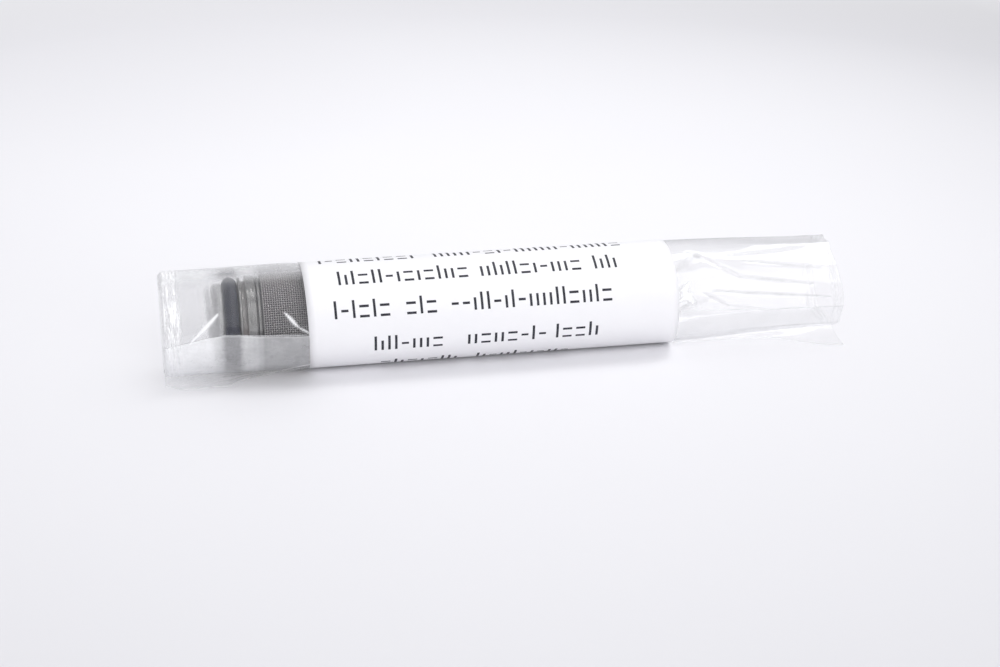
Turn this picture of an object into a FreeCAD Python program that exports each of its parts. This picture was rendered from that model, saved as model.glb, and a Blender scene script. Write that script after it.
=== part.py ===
"""Woven mesh filter cartridge lying in its rolled clear film sleeve, under a plain wrap label.

Millimetres. X runs along the cartridge, with its outlet towards -X, and +Z is up. The origin is on the
table, straight below the cartridge's axis, at the middle of the sleeve's length.
"""

import FreeCAD
import Part

import math
import os

from FreeCAD import Vector

# Clear sleeve: a film pouch rolled round the cartridge
SLEEVE_LENGTH = 117.8
FILM_WALL = 0.22  # the plies that lie on each other as one wall
SLEEVE_CLEARANCE = 0.3  # from the guard mesh to the inner turn of film
TURN_GAP = 0.72  # slack between the inner turn and the outer wall
FILM_FLATS = 16  # flats round the roll past the label, with one of them to rest on
OUTLET_NARROWING = 0.28  # how much nearer the axis the film lies at each end
FREE_NARROWING = 0.63
OUTLET_SHOULDER = 6.0  # length over which the roll narrows to each end
FREE_SHOULDER = 16.0
PLEAT_DEPTH = 0.55  # how far the folds sink in at the free end's band
ROUND_INSET = 1.0  # how far inside the label's ends the film is still round
OUTLET_BAND = 3.0  # heat-sealed bands
FREE_BAND = 2.0
CRIMP_PITCH = 0.7  # the sealing jaw's ridges, round each band
CRIMP_HEIGHT = 0.12
RIM_LENGTH = 0.5  # curled rim past the crimped part of a band
RIM_CURL = 0.6  # how far the rim curls inwards
INNER_TURN_EDGE_ANGLE = -4.0  # degrees above the horizontal at the front
FLAP_THICKNESS = 0.2
FLAP_DROOP = 2.6  # distance in front of the axis over which the flap comes down to the table
FLAP_HEEL = 1.2  # how far the flap reaches under the roll, past its lowest line

# The film's free edge on the table, at each end: (distance from the end, reach in front of the axis)
OUTLET_FLAP = ((0.0, 3.0), (2.4, 7.6), (6.2, 8.0), (10.1, 8.1), (13.8, 5.3), (17.5, 2.4), (23.7, 1.2))
FREE_FLAP = ((0.0, 9.9), (2.6, 9.6), (7.1, 6.6), (11.4, 3.6), (16.0, 2.2), (24.0, 1.2))

# Wrap label
LABEL_LENGTH = 63.5
LABEL_WRAP_LENGTH = 38.1  # measured round the roll
LABEL_THICKNESS = 0.12
LABEL_INSET = 23.95  # from the sleeve's outlet end
LABEL_MIDDLE_ANGLE = 21.5  # degrees above the horizontal at the front
LABEL_CORNER_RADIUS = 2.0
LABEL_CLEARANCE = 0.01  # between the film and the paper

# Cartridge as a whole
CARTRIDGE_LENGTH = 57.15
CARTRIDGE_INSET = 8.6  # from the sleeve's outlet end to the cartridge's tip

# Mesh pack, from the bore outwards
CORE_BORE_DIA = 12.7
CORE_WALL = 0.6
CLOTH_WALL = 0.1
GUARD_WALL = 0.4  # over the wires
LAYER_CLEARANCE = 0.01
SEAT_CLEARANCE = 0.02  # from the mesh pack's ends to the caps' shoulders

# Slotted core
CORE_SLOT_LENGTH = 7.0
CORE_SLOT_WIDTH = 2.0
CORE_SLOTS_ROUND = 6
CORE_SLOT_ROWS = 4
CORE_END_LAND = 4.0  # plain metal past the first and last slots

# Guard mesh: wires stand out as ridges, and every second mesh between them is an open gap
GUARD_WIRES = 20
WIRE_HEIGHT = 0.2
WIRE_FOOT = 0.9  # width of a ridge where it leaves the wall
WIRE_CROWN = 0.5
GAP_ROWS = 12
GAP_WIDTH = 1.1
CROSS_WIRE = 0.9  # what stays of the wall between two rows of gaps
SEAM_MESH = 9  # the row of meshes, counted from the front, that the welded seam closes at the back

# O-ring
O_RING_BORE = 9.19
O_RING_SECTION = 2.62
O_RING_SEAT = 0.01  # from the groove's floor to the ring
O_RING_SIDES = 12  # flats that stand for its round section

# Outlet cap, from its tip inwards
BOSS_DIA = 12.5
BOSS_LAND = 1.7
BOSS_CHAMFER = 0.45
GROOVE_WIDTH = 2.8
LIP_DIA = 14.1
LIP_WIDTH = 0.4
RELIEF_DIA = 12.9
RELIEF_WIDTH = 0.8
COLLAR_WIDTH = 1.5
OUTLET_BORE_DIA = 6.0
BORE_CHAMFER = 0.4
POCKET_DIA = 10.6
POCKET_DEPTH = 4.0

# Shapes that both caps share
COLLAR_DIA = 14.7
NECK_GROOVE_DIA = 13.7  # turned lines beside the mesh
NECK_GROOVE_WIDTH = 0.3
NECK_RIDGE_DIA = 14.4
NECK_RIDGE_WIDTH = 0.4
SPIGOT_LENGTH = 3.0
SPIGOT_CLEARANCE = 0.05  # inside the core, on the radius

# Blind cap
FLANGE_WIDTH = 2.2
FLANGE_CHAMFER = 0.5

# Places along X
SLEEVE_START = -SLEEVE_LENGTH / 2
SLEEVE_END = SLEEVE_LENGTH / 2
LABEL_START = SLEEVE_START + LABEL_INSET
TIP = SLEEVE_START + CARTRIDGE_INSET
NECK_WIDTH = 2 * NECK_GROOVE_WIDTH + NECK_RIDGE_WIDTH
OUTLET_HEAD = BOSS_LAND + GROOVE_WIDTH + LIP_WIDTH + RELIEF_WIDTH + COLLAR_WIDTH + NECK_WIDTH
PACK_START = TIP + OUTLET_HEAD + SEAT_CLEARANCE
PACK_END = TIP + CARTRIDGE_LENGTH - FLANGE_WIDTH - NECK_WIDTH - SEAT_CLEARANCE
PACK_LENGTH = PACK_END - PACK_START

# Radii
CORE_INNER = CORE_BORE_DIA / 2
CORE_OUTER = CORE_INNER + CORE_WALL
CLOTH_INNER = CORE_OUTER + LAYER_CLEARANCE
CLOTH_OUTER = CLOTH_INNER + CLOTH_WALL
GUARD_INNER = CLOTH_OUTER + LAYER_CLEARANCE
GUARD_OUTER = GUARD_INNER + GUARD_WALL
SPIGOT_RADIUS = CORE_INNER - SPIGOT_CLEARANCE
O_RING_CENTRE = (O_RING_BORE + O_RING_SECTION) / 2
INNER_TURN = GUARD_OUTER + SLEEVE_CLEARANCE
ROLL_RADIUS = INNER_TURN + FILM_WALL + TURN_GAP + FILM_WALL

# Heights
FLAT_DEPTH = ROLL_RADIUS * math.cos(math.pi / FILM_FLATS)  # from the axis down to the film's lowest flat
FILM_BOTTOM = LABEL_THICKNESS + LABEL_CLEARANCE
AXIS_HEIGHT = FILM_BOTTOM + FLAT_DEPTH

X_DIR = Vector(1, 0, 0)
FULL_TURN = 360.0
TRIM = 1.0  # how far a cutting tool runs past what it cuts


def turned(outline, height=AXIS_HEIGHT):
    """Revolve a closed outline of (x, radius) points about a line along X at the given height."""
    points = [Vector(x, 0, r) for x, r in outline]
    face = Part.Face(Part.makePolygon(points + points[:1]))
    solid = face.revolve(Vector(0, 0, 0), X_DIR, FULL_TURN)
    return solid.translated(Vector(0, 0, height))


def rod(radius, start, end, height=AXIS_HEIGHT):
    """Return a cylinder along X between two places."""
    return Part.makeCylinder(radius, end - start, Vector(start, 0, height), X_DIR)


def tube(inner, outer, start, end):
    """Return a plain tube on the cartridge's axis."""
    return rod(outer, start, end).cut(rod(inner, start - TRIM, end + TRIM))


def around(radius, degrees, x=0.0):
    """Return the point at a radius from the axis and an angle above the horizontal at the front."""
    angle = math.radians(degrees)
    return Vector(x, -radius * math.cos(angle), AXIS_HEIGHT + radius * math.sin(angle))


def band_face(start, inner, outer, degrees_from, degrees_to, centre_drop=0.0):
    """Return the closed face between two arcs about one centre, square to X at the given place."""
    drop = Vector(0, 0, -centre_drop)
    middle = (degrees_from + degrees_to) / 2

    def place(radius, angle):
        return around(radius, angle, start) + drop

    def arc(radius, first, last):
        ends = [place(radius, angle) for angle in (first, middle, last)]
        return Part.Arc(*ends).toShape()

    outside = arc(outer, degrees_from, degrees_to)
    inside = arc(inner, degrees_to, degrees_from)
    sides = [
        Part.LineSegment(place(outer, degrees_to), place(inner, degrees_to)),
        Part.LineSegment(place(inner, degrees_from), place(outer, degrees_from)),
    ]
    wire = Part.Wire([outside, sides[0].toShape(), inside, sides[1].toShape()])
    return Part.Face(wire)


# Caps


def neck(x, step):
    """Return the turned lines beside the mesh, from the collar's edge at x, as (x, radius) points."""
    groove, ridge = NECK_GROOVE_DIA / 2, NECK_RIDGE_DIA / 2
    places = [0.0, NECK_GROOVE_WIDTH, NECK_GROOVE_WIDTH + NECK_RIDGE_WIDTH, NECK_WIDTH]
    radii = [groove, ridge, groove]
    points = []
    for first, last, radius in zip(places, places[1:], radii):
        points += [(x + step * first, radius), (x + step * last, radius)]
    return points


def spigot(x, step):
    """Return the outside of the plug that fits in the core, from the shoulder at x."""
    return [(x, SPIGOT_RADIUS), (x + step * SPIGOT_LENGTH, SPIGOT_RADIUS)]


def outlet_cap():
    """Turned cap with a sealing groove, a drilled outlet and a wider pocket inside."""
    boss, collar = BOSS_DIA / 2, COLLAR_DIA / 2
    floor = O_RING_BORE / 2 - O_RING_SEAT
    bore, pocket = OUTLET_BORE_DIA / 2, POCKET_DIA / 2
    groove_start = TIP + BOSS_LAND
    groove_end = groove_start + GROOVE_WIDTH
    relief_start = groove_end + LIP_WIDTH
    collar_start = relief_start + RELIEF_WIDTH
    collar_end = collar_start + COLLAR_WIDTH
    shoulder = collar_end + NECK_WIDTH
    inner_end = shoulder + SPIGOT_LENGTH
    outside = [
        (TIP, boss - BOSS_CHAMFER),
        (TIP + BOSS_CHAMFER, boss),
        (groove_start, boss),
        (groove_start, floor),
        (groove_end, floor),
        (groove_end, LIP_DIA / 2),
        (relief_start, LIP_DIA / 2),
        (relief_start, RELIEF_DIA / 2),
        (collar_start, RELIEF_DIA / 2),
        (collar_start, collar),
        (collar_end, collar),
    ]
    inside = [
        (inner_end, pocket),
        (inner_end - POCKET_DEPTH, pocket),
        (inner_end - POCKET_DEPTH, bore),
        (TIP + BORE_CHAMFER, bore),
        (TIP, bore + BORE_CHAMFER),
    ]
    return turned(outside + neck(collar_end, 1) + spigot(shoulder, 1) + inside)


def blind_cap():
    """Turned plug that closes the other end, with a chamfered flange."""
    flange = COLLAR_DIA / 2
    outer_face = TIP + CARTRIDGE_LENGTH
    flange_end = outer_face - FLANGE_WIDTH
    shoulder = flange_end - NECK_WIDTH
    outline = [
        (outer_face, 0.0),
        (outer_face, flange - FLANGE_CHAMFER),
        (outer_face - FLANGE_CHAMFER, flange),
        (flange_end, flange),
    ]
    inner_end = shoulder - SPIGOT_LENGTH
    return turned(outline + neck(flange_end, -1) + spigot(shoulder, -1) + [(inner_end, 0.0)])


def outlet_o_ring():
    """O-ring in the middle of its groove, with its section drawn in flats."""
    middle = TIP + BOSS_LAND + GROOVE_WIDTH / 2
    corner_radius = O_RING_SECTION / 2 / math.cos(math.pi / O_RING_SIDES)
    section = []
    for corner in range(O_RING_SIDES):
        turn = 2 * math.pi * (corner + 0.5) / O_RING_SIDES
        along, out = corner_radius * math.cos(turn), corner_radius * math.sin(turn)
        section.append((middle + along, O_RING_CENTRE + out))
    return turned(section)


# Mesh pack


def radial_box(start, degrees, length, width, inner, outer):
    """Return a box that points out from the axis, from a place along X and centred on an angle."""
    box = Part.makeBox(length, width, outer - inner, Vector(start, -width / 2, inner))
    box.rotate(Vector(0, 0, 0), X_DIR, 90.0 - degrees)
    return box.translated(Vector(0, 0, AXIS_HEIGHT))


def support_core():
    """Slotted tube that carries the cloth, with its rows of slots staggered."""
    shell = tube(CORE_INNER, CORE_OUTER, PACK_START, PACK_END)
    first = PACK_START + CORE_END_LAND
    row_pitch = (PACK_LENGTH - 2 * CORE_END_LAND - CORE_SLOT_LENGTH) / (CORE_SLOT_ROWS - 1)
    step = FULL_TURN / CORE_SLOTS_ROUND
    cut_inner, cut_outer = CORE_INNER - TRIM, CORE_OUTER + TRIM
    slots = []
    for row in range(CORE_SLOT_ROWS):
        for column in range(CORE_SLOTS_ROUND):
            angle = step * (column + 0.5 * (row % 2))
            place = first + row_pitch * row
            slots.append(radial_box(place, angle, CORE_SLOT_LENGTH, CORE_SLOT_WIDTH, cut_inner, cut_outer))
    return shell.cut(Part.makeCompound(slots))


def filter_cloth():
    """Fine woven cloth, one smooth layer on the core."""
    return tube(CLOTH_INNER, CLOTH_OUTER, PACK_START, PACK_END)


def guard_outline(wall_radius, step):
    """Return the guard mesh's outer outline: a ridge on every wire, and one band across the seam."""
    foot = math.degrees(WIRE_FOOT / 2 / wall_radius)
    crown = math.degrees(WIRE_CROWN / 2 / GUARD_OUTER)
    points = []
    for wire in range(GUARD_WIRES):
        centre = step * wire
        if wire != SEAM_MESH + 1:
            points.append(around(wall_radius, centre - foot, PACK_START))
        points.append(around(GUARD_OUTER, centre - crown, PACK_START))
        points.append(around(GUARD_OUTER, centre + crown, PACK_START))
        if wire != SEAM_MESH:
            points.append(around(wall_radius, centre + foot, PACK_START))
    return points


def guard_mesh():
    """Outer woven mesh: one wall with wire ridges, a checkerboard of open gaps and a closed seam behind."""
    step = FULL_TURN / GUARD_WIRES
    wall_radius = GUARD_OUTER - WIRE_HEIGHT
    inner_corner = GUARD_INNER / math.cos(math.pi / GUARD_WIRES)
    inside = [around(inner_corner, step * wire, PACK_START) for wire in range(GUARD_WIRES)]
    outside = guard_outline(wall_radius, step)
    section = Part.Face(Part.makePolygon(outside + outside[:1]))
    section = section.cut(Part.Face(Part.makePolygon(inside + inside[:1])))
    wall = section.extrude(Vector(PACK_LENGTH, 0, 0))
    row_pitch = (PACK_LENGTH - CROSS_WIRE) / GAP_ROWS
    gap_length = row_pitch - CROSS_WIRE
    cut_inner, cut_outer = GUARD_INNER - TRIM, GUARD_OUTER + TRIM
    gaps = []
    for row in range(GAP_ROWS):
        start = PACK_START + CROSS_WIRE + row_pitch * row
        for mesh in range(row % 2, GUARD_WIRES, 2):
            if mesh != SEAM_MESH:
                angle = step * (mesh + 0.5)
                gaps.append(radial_box(start, angle, gap_length, GAP_WIDTH, cut_inner, cut_outer))
    return wall.cut(Part.makeCompound(gaps))


# Sleeve and label


def above(solid, floor):
    """Return what of a solid lies above a level."""
    reach = 2 * ROLL_RADIUS
    corner = Vector(-SLEEVE_LENGTH, -reach, floor - reach)
    return solid.cut(Part.makeBox(2 * SLEEVE_LENGTH, 2 * reach, reach, corner))


def film_ring(x, radius, pleat=0.0):
    """Return the film's corners at a place along X: flats all round, every second corner sunk by the pleat.

    The corners on both sides of the lowest flat are never sunk, so that the roll rests on it.
    """
    step = FULL_TURN / FILM_FLATS
    points = []
    for corner in range(FILM_FLATS):
        sunk = corner % 2 == 1 and corner < FILM_FLATS - 1
        points.append(around(radius - pleat * sunk, step * (corner + 0.5) - 90.0, x))
    return points


def film_end(edge, step, narrowing, band, shoulder, pleat, inset):
    """Return one end of the filled roll, from the label's end to its rim, in flats.

    edge is the rim's place, step is +1 where the sleeve's body lies towards +X, and inset is how far inside
    the film's outer surface the flats lie. Only the outer surface shows the crimped ridges.
    """
    full = ROLL_RADIUS - inset
    narrow = full - narrowing
    label_end = LABEL_START + ROUND_INSET if step > 0 else LABEL_START + LABEL_LENGTH - ROUND_INSET
    run = abs(label_end - edge) - band
    rings = [
        film_ring(label_end, full),
        film_ring(edge + step * (band + shoulder), full, pleat * (1 - shoulder / run)),
        film_ring(edge + step * band, narrow, pleat),
    ]
    ridges = int((band - RIM_LENGTH) / CRIMP_PITCH) if inset == 0.0 else 0
    for ridge in range(ridges, 0, -1):
        place = RIM_LENGTH + CRIMP_PITCH * (ridge - 0.5)
        rings.append(film_ring(edge + step * place, narrow + CRIMP_HEIGHT, pleat))
        rings.append(film_ring(edge + step * (place - CRIMP_PITCH / 2), narrow, pleat))
    if ridges == 0:
        rings.append(film_ring(edge + step * RIM_LENGTH, narrow, pleat))
    rings.append(film_ring(edge, narrow - RIM_CURL, pleat))
    return Part.makeLoft([Part.makePolygon(ring + ring[:1]) for ring in rings], True, True)


def roll_body(inset):
    """Return the filled roll, inset inside the film's surface: round under the label, in flats past it."""
    outlet = film_end(SLEEVE_START, 1, OUTLET_NARROWING, OUTLET_BAND, OUTLET_SHOULDER, 0.0, inset)
    free = film_end(SLEEVE_END, -1, FREE_NARROWING, FREE_BAND, FREE_SHOULDER, PLEAT_DEPTH, inset)
    middle = rod(ROLL_RADIUS - inset, LABEL_START + ROUND_INSET, LABEL_START + LABEL_LENGTH - ROUND_INSET)
    return above(middle, FILM_BOTTOM + inset).fuse([outlet, free])


def inner_turn():
    """Return the roll's inner turn: most of a circle round the cartridge, then a wider arc to the wall."""
    outer = INNER_TURN + FILM_WALL
    wall_middle = FLAT_DEPTH - FILM_WALL / 2
    drop = wall_middle - (INNER_TURN + outer) / 2
    meeting = math.degrees(math.asin(drop / 2 / wall_middle))
    start = SLEEVE_START + OUTLET_BAND + OUTLET_SHOULDER
    end = LABEL_START + LABEL_LENGTH - ROUND_INSET
    top = 90.0
    along = Vector(end - start, 0, 0)
    close = band_face(start, INNER_TURN, outer, INNER_TURN_EDGE_ANGLE, top - FULL_TURN)
    wide = band_face(start, INNER_TURN + drop, outer + drop, meeting, top, centre_drop=drop)
    return close.extrude(along).fuse(wide.extrude(along))


def flap(outline, edge, step, narrowing, end_zone):
    """Return a free edge of film: it leaves the roll's underside, droops to the table and lies flat.

    Over end_zone, where the roll is narrower, it starts higher than the table by that much.
    """
    far = outline[-1][0]
    plan = [Vector(edge, FLAP_HEEL, 0)]
    plan += [Vector(edge + step * distance, -reach, 0) for distance, reach in outline]
    plan.append(Vector(edge + step * far, FLAP_HEEL, 0))
    prism = Part.Face(Part.makePolygon(plan + plan[:1])).extrude(Vector(0, 0, ROLL_RADIUS))
    front = max(reach for _, reach in outline) + TRIM
    root = FILM_BOTTOM + narrowing
    sheets = []
    for start, length, height in ((0.0, end_zone, root), (end_zone, far - end_zone, 0.0)):
        under = [(FLAP_HEEL, height), (0.0, height), (-FLAP_DROOP, 0.0), (-front, 0.0)]
        over = [(y, z + FLAP_THICKNESS) for y, z in reversed(under)]
        section = [Vector(edge + step * start, y, z) for y, z in under + over]
        face = Part.Face(Part.makePolygon(section + section[:1]))
        sheets.append(face.extrude(Vector(step * length, 0, 0)))
    return sheets[0].fuse(sheets[1]).common(prism)


def clear_sleeve():
    """Rolled film pouch: outer wall with sealed ends, inner turn and two free edges on the table."""
    outlet_zone = OUTLET_BAND + OUTLET_SHOULDER
    free_zone = FREE_BAND + FREE_SHOULDER
    flaps = [
        flap(OUTLET_FLAP, SLEEVE_START, 1, OUTLET_NARROWING, outlet_zone),
        flap(FREE_FLAP, SLEEVE_END, -1, FREE_NARROWING, free_zone),
    ]
    return roll_body(0.0).cut(roll_body(FILM_WALL)).fuse([inner_turn()] + flaps)


def label_shell():
    """Return the paper all the way round, with its flat underside on the table."""
    end = LABEL_START + LABEL_LENGTH
    inner = ROLL_RADIUS + LABEL_CLEARANCE
    paper = above(rod(inner + LABEL_THICKNESS, LABEL_START, end), 0.0)
    return paper.cut(above(rod(inner, LABEL_START - TRIM, end + TRIM), LABEL_THICKNESS))


def wrap_label():
    """Paper label stuck round the front, over the top and under the roll, open at the back."""
    radius = ROLL_RADIUS + LABEL_CLEARANCE + LABEL_THICKNESS
    half = math.degrees(LABEL_WRAP_LENGTH / 2 / radius)
    upper, lower = LABEL_MIDDLE_ANGLE + half, LABEL_MIDDLE_ANGLE - half
    gap = lower + FULL_TURN - upper
    reach = 4 * ROLL_RADIUS
    spokes = [around(reach, upper + gap * share, LABEL_START - TRIM) for share in (0.0, 1 / 3, 2 / 3, 1.0)]
    points = [around(0.0, 0.0, LABEL_START - TRIM)] + spokes
    wedge = Part.Face(Part.makePolygon(points + points[:1])).extrude(Vector(LABEL_LENGTH + 2 * TRIM, 0, 0))
    tools = [wedge]
    for x, inward in ((LABEL_START, 1), (LABEL_START + LABEL_LENGTH, -1)):
        tools += [corner_tool(x, inward, upper, -1), corner_tool(x, inward, lower, 1)]
    return label_shell().cut(Part.makeCompound(tools))


def corner_tool(x, inward, degrees, turn):
    """Return what a label's rounded corner leaves out: a square prism less a quarter cylinder.

    inward is the way along X into the label, and turn the way round into it.
    """
    size = LABEL_CORNER_RADIUS
    over = 0.5  # past the label's edges, so that no sliver stays
    depth = 2 * size
    start = ROLL_RADIUS - size
    corner = Part.makeBox(size + over, size + over, depth, Vector(-over, -over, start))
    corner = corner.cut(Part.makeCylinder(size, depth, Vector(size, size, start)))
    along = Vector(inward, 0, 0)
    out = around(1.0, degrees) - around(0.0, 0.0)
    round_way = (around(1.0, degrees + 90.0 * turn) - around(0.0, 0.0)).normalize()
    sides = (along, round_way) if along.cross(round_way).dot(out) > 0 else (round_way, along)
    turn_to = FreeCAD.Rotation(sides[0], sides[1], out, "ZXY")
    corner.Placement = FreeCAD.Placement(Vector(x, 0, AXIS_HEIGHT), turn_to)
    return corner


PIECES = {
    "outlet_cap": outlet_cap,
    "outlet_o_ring": outlet_o_ring,
    "blind_cap": blind_cap,
    "support_core": support_core,
    "filter_cloth": filter_cloth,
    "guard_mesh": guard_mesh,
    "clear_sleeve": clear_sleeve,
    "wrap_label": wrap_label,
}

os.makedirs("parts", exist_ok=True)
for name, make in PIECES.items():
    shape = make()
    shape.exportStep(f"parts/{name}.step")
    print(name, "valid", shape.isValid(), "solids", len(shape.Solids), "volume", round(shape.Volume, 3))
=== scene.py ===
"""Woven mesh filter cartridge in its rolled clear film sleeve, dressed for a studio view.

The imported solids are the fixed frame. Every size below is in millimetres, and meshes are written in
metres. X runs along the cartridge with its outlet towards -X, the front is -Y and Z is up. An angle
round the axis is 0 at the front and 90 degrees at the top.
"""

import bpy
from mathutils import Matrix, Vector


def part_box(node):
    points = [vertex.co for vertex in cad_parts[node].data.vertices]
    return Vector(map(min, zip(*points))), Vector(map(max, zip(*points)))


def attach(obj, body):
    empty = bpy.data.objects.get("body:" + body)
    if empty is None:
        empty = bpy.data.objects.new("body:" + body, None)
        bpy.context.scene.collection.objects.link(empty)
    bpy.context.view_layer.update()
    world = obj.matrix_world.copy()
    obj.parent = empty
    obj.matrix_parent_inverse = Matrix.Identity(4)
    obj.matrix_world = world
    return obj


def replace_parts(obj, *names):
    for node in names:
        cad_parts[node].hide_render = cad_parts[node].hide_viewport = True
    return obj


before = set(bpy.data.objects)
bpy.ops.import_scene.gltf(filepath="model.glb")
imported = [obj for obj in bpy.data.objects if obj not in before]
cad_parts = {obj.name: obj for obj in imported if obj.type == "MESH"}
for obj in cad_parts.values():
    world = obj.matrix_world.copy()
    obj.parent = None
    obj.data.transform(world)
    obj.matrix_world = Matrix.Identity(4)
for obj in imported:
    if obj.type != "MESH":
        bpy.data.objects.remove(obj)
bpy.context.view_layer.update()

import logging
from dataclasses import dataclass, field
from enum import Enum
from typing import Any, Callable, NamedTuple

import bpy
import numpy as np
from mathutils import Matrix, Vector

log = logging.getLogger("filter_scene")
MM = 0.001
BODY = "root"
POLE_RADIUS = 1e-6
Array = np.ndarray
Outline = tuple[tuple[float, float], ...]


class Way(Enum):
    """Which way along X a part of the sleeve runs, from the label to its end."""

    OUTLET = -1
    FREE = 1


class Stroke(Enum):
    """The kinds of plain mark in a row of the label's print."""

    BAR = "bar"
    SHORT_BAR = "short_bar"
    PAIR = "pair"
    DASH = "dash"


# Frame readings


@dataclass(frozen=True)
class Span:
    """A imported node's reach along X and its outer radius, in millimetres."""

    start: float
    end: float
    radius: float

    @classmethod
    def of(cls, node: str) -> "Span":
        """Read a node's span from the frame.

        Args:
            node: The node's name.

        Returns:
            The node's span, with its radius taken towards the back.
        """
        low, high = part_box(node)
        return cls(low.x / MM, high.x / MM, high.y / MM)


def axis_height() -> float:
    """Return the cartridge axis's height above the table, in millimetres."""
    low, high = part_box("outlet_cap")
    return (low.z + high.z) / 2 / MM


AXIS = axis_height()


# Numpy surfaces


def smooth_step(value: Array, start: float, end: float) -> Array:
    """Return a smooth rise from 0 at start to 1 at end: three t squared less two t cubed.

    Args:
        value: Places.
        start: Where the rise starts.
        end: Where it is complete; it may be below start.

    Returns:
        The rise at each place.
    """
    share = np.clip((value - start) / (end - start), 0.0, 1.0)
    return share * share * (3 - 2 * share)


def window(value: Array, rise: tuple[float, float], fall: tuple[float, float]) -> Array:
    """Return a smooth rise from 0 to 1, times a smooth fall back to 0.

    Args:
        value: Places.
        rise: Where the rise starts and where it is complete.
        fall: Where the fall is complete and, before that, where it starts.

    Returns:
        The window at each place.
    """
    return smooth_step(value, *rise) * smooth_step(value, *fall)


def bell(gap: Array, width: float | Array) -> Array:
    """Return a bell curve: the exponential of less the square of a gap over a width."""
    return np.exp(-((gap / width) ** 2))


def turn_from(theta: Array, middle: float) -> Array:
    """Return angles measured from a middle one, within half a turn either way, in radians."""
    return np.angle(np.exp(1j * (theta - middle)))


def on_axis(x: Array, radius: Array, theta: Array) -> Array:
    """Return points at a radius from the cartridge's axis: Y is less radius cosine, Z radius sine up.

    Args:
        x: Places along X, in millimetres.
        radius: Distances from the axis, in millimetres.
        theta: Angles in radians, 0 at the front and a quarter turn at the top.

    Returns:
        An array of the broadcast shape with three coordinates in its last direction, in millimetres.
    """
    x, radius, theta = np.broadcast_arrays(x, radius, theta)
    return np.stack([x, -radius * np.cos(theta), AXIS + radius * np.sin(theta)], axis=-1)


def outward(theta: Array) -> Array:
    """Return unit ways out of the axis: Y is less the cosine of the angle, and Z its sine."""
    return np.stack([0.0 * theta, -np.cos(theta), np.sin(theta)], axis=-1)


def grid_quads(rows: int, columns: int, closed_rows: bool = False, closed_columns: bool = False) -> Array:
    """Return a grid's quads as vertex numbers, row by row.

    Args:
        rows: Number of rows of vertices.
        columns: Number of vertices in a row.
        closed_rows: Whether the last row joins the first.
        closed_columns: Whether a row's last vertex joins its first.

    Returns:
        An array of four vertex numbers a quad.
    """
    i = np.arange(rows if closed_rows else rows - 1)[:, None]
    j = np.arange(columns if closed_columns else columns - 1)[None, :]
    below, beside = (i + 1) % rows, (j + 1) % columns
    corners = [i * columns + j, below * columns + j, below * columns + beside, i * columns + beside]
    return np.stack([np.broadcast_to(c, (i.size, j.size)) for c in corners], axis=-1).reshape(-1, 4)


def ripple(u: Array, v: Array, seed: int, waves: int, top_u: float, top_v: int) -> Array:
    """Return a smooth random field: a mean of sines with random directions and phases.

    Args:
        u: First coordinate, in radians of the slowest wave.
        v: Second coordinate, an angle that closes after a full turn.
        seed: Seed of the random draw.
        waves: Number of sines.
        top_u: Highest frequency in u.
        top_v: Highest whole frequency in v.

    Returns:
        The field, mostly between -1 and 1.
    """
    draw = np.random.default_rng(seed)
    total = np.zeros(np.broadcast(u, v).shape)
    for _ in range(waves):
        along, across = draw.uniform(-top_u, top_u), draw.integers(-top_v, top_v + 1)
        total += np.sin(along * u + across * v + draw.uniform(0, 2 * np.pi))
    return total / np.sqrt(waves)


@dataclass
class Surface:
    """A mesh in the making: points in millimetres, faces and named values for each point."""

    points: Array
    faces: Array
    values: dict[str, Array] = field(default_factory=dict)

    def build(
        self, name: str, material: bpy.types.Material, slot: str, smooth: bool = True
    ) -> bpy.types.Object:
        """Make the Blender object, dress it and let it ride on the body.

        Args:
            name: The piece's name.
            material: Its finish.
            slot: The record's material slot; not used.
            smooth: Whether faces are shaded smooth.

        Returns:
            The new object, at the origin.
        """
        mesh = bpy.data.meshes.new(name)
        corners = self.faces.shape[1]
        mesh.vertices.add(len(self.points))
        mesh.vertices.foreach_set("co", (self.points * MM).astype(np.float32).ravel())
        mesh.loops.add(self.faces.size)
        mesh.loops.foreach_set("vertex_index", self.faces.astype(np.int32).ravel())
        mesh.polygons.add(len(self.faces))
        mesh.polygons.foreach_set("loop_start", np.arange(0, self.faces.size, corners, dtype=np.int32))
        mesh.polygons.foreach_set("use_smooth", np.full(len(self.faces), smooth))
        mesh.update(calc_edges=True)
        for key, value in self.values.items():
            attribute = mesh.attributes.new(key, "FLOAT", "POINT")
            attribute.data.foreach_set("value", value.astype(np.float32).ravel())
        mesh.materials.append(material)
        piece = bpy.data.objects.new(name, mesh)
        bpy.context.scene.collection.objects.link(piece)
        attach(piece, BODY)
        log.info("%s: %d points, %d faces", name, len(self.points), len(self.faces))
        return piece


def join_surfaces(parts: list[Surface]) -> Surface:
    """Put several surfaces in one, without welding them.

    Args:
        parts: Surfaces with equal face sizes and no named values.

    Returns:
        One surface with all of them.
    """
    starts = np.cumsum([0] + [len(p.points) for p in parts[:-1]])
    faces = np.concatenate([p.faces + start for p, start in zip(parts, starts)])
    return Surface(np.concatenate([p.points for p in parts]), faces)


def grid_normals(points: Array, closed_columns: bool) -> Array:
    """Return unit normals of a grid: the cross product of its two directions' central differences.

    Args:
        points: Rows by columns by three.
        closed_columns: Whether each row closes on itself.

    Returns:
        Normals of the same shape, on the side that the row direction crossed with the column gives.
    """
    down = np.gradient(points, axis=0)
    if closed_columns:
        across = (np.roll(points, -1, axis=1) - np.roll(points, 1, axis=1)) / 2
    else:
        across = np.gradient(points, axis=1)
    normal = np.cross(down, across)
    return normal / np.maximum(np.linalg.norm(normal, axis=-1, keepdims=True), 1e-12)


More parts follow.
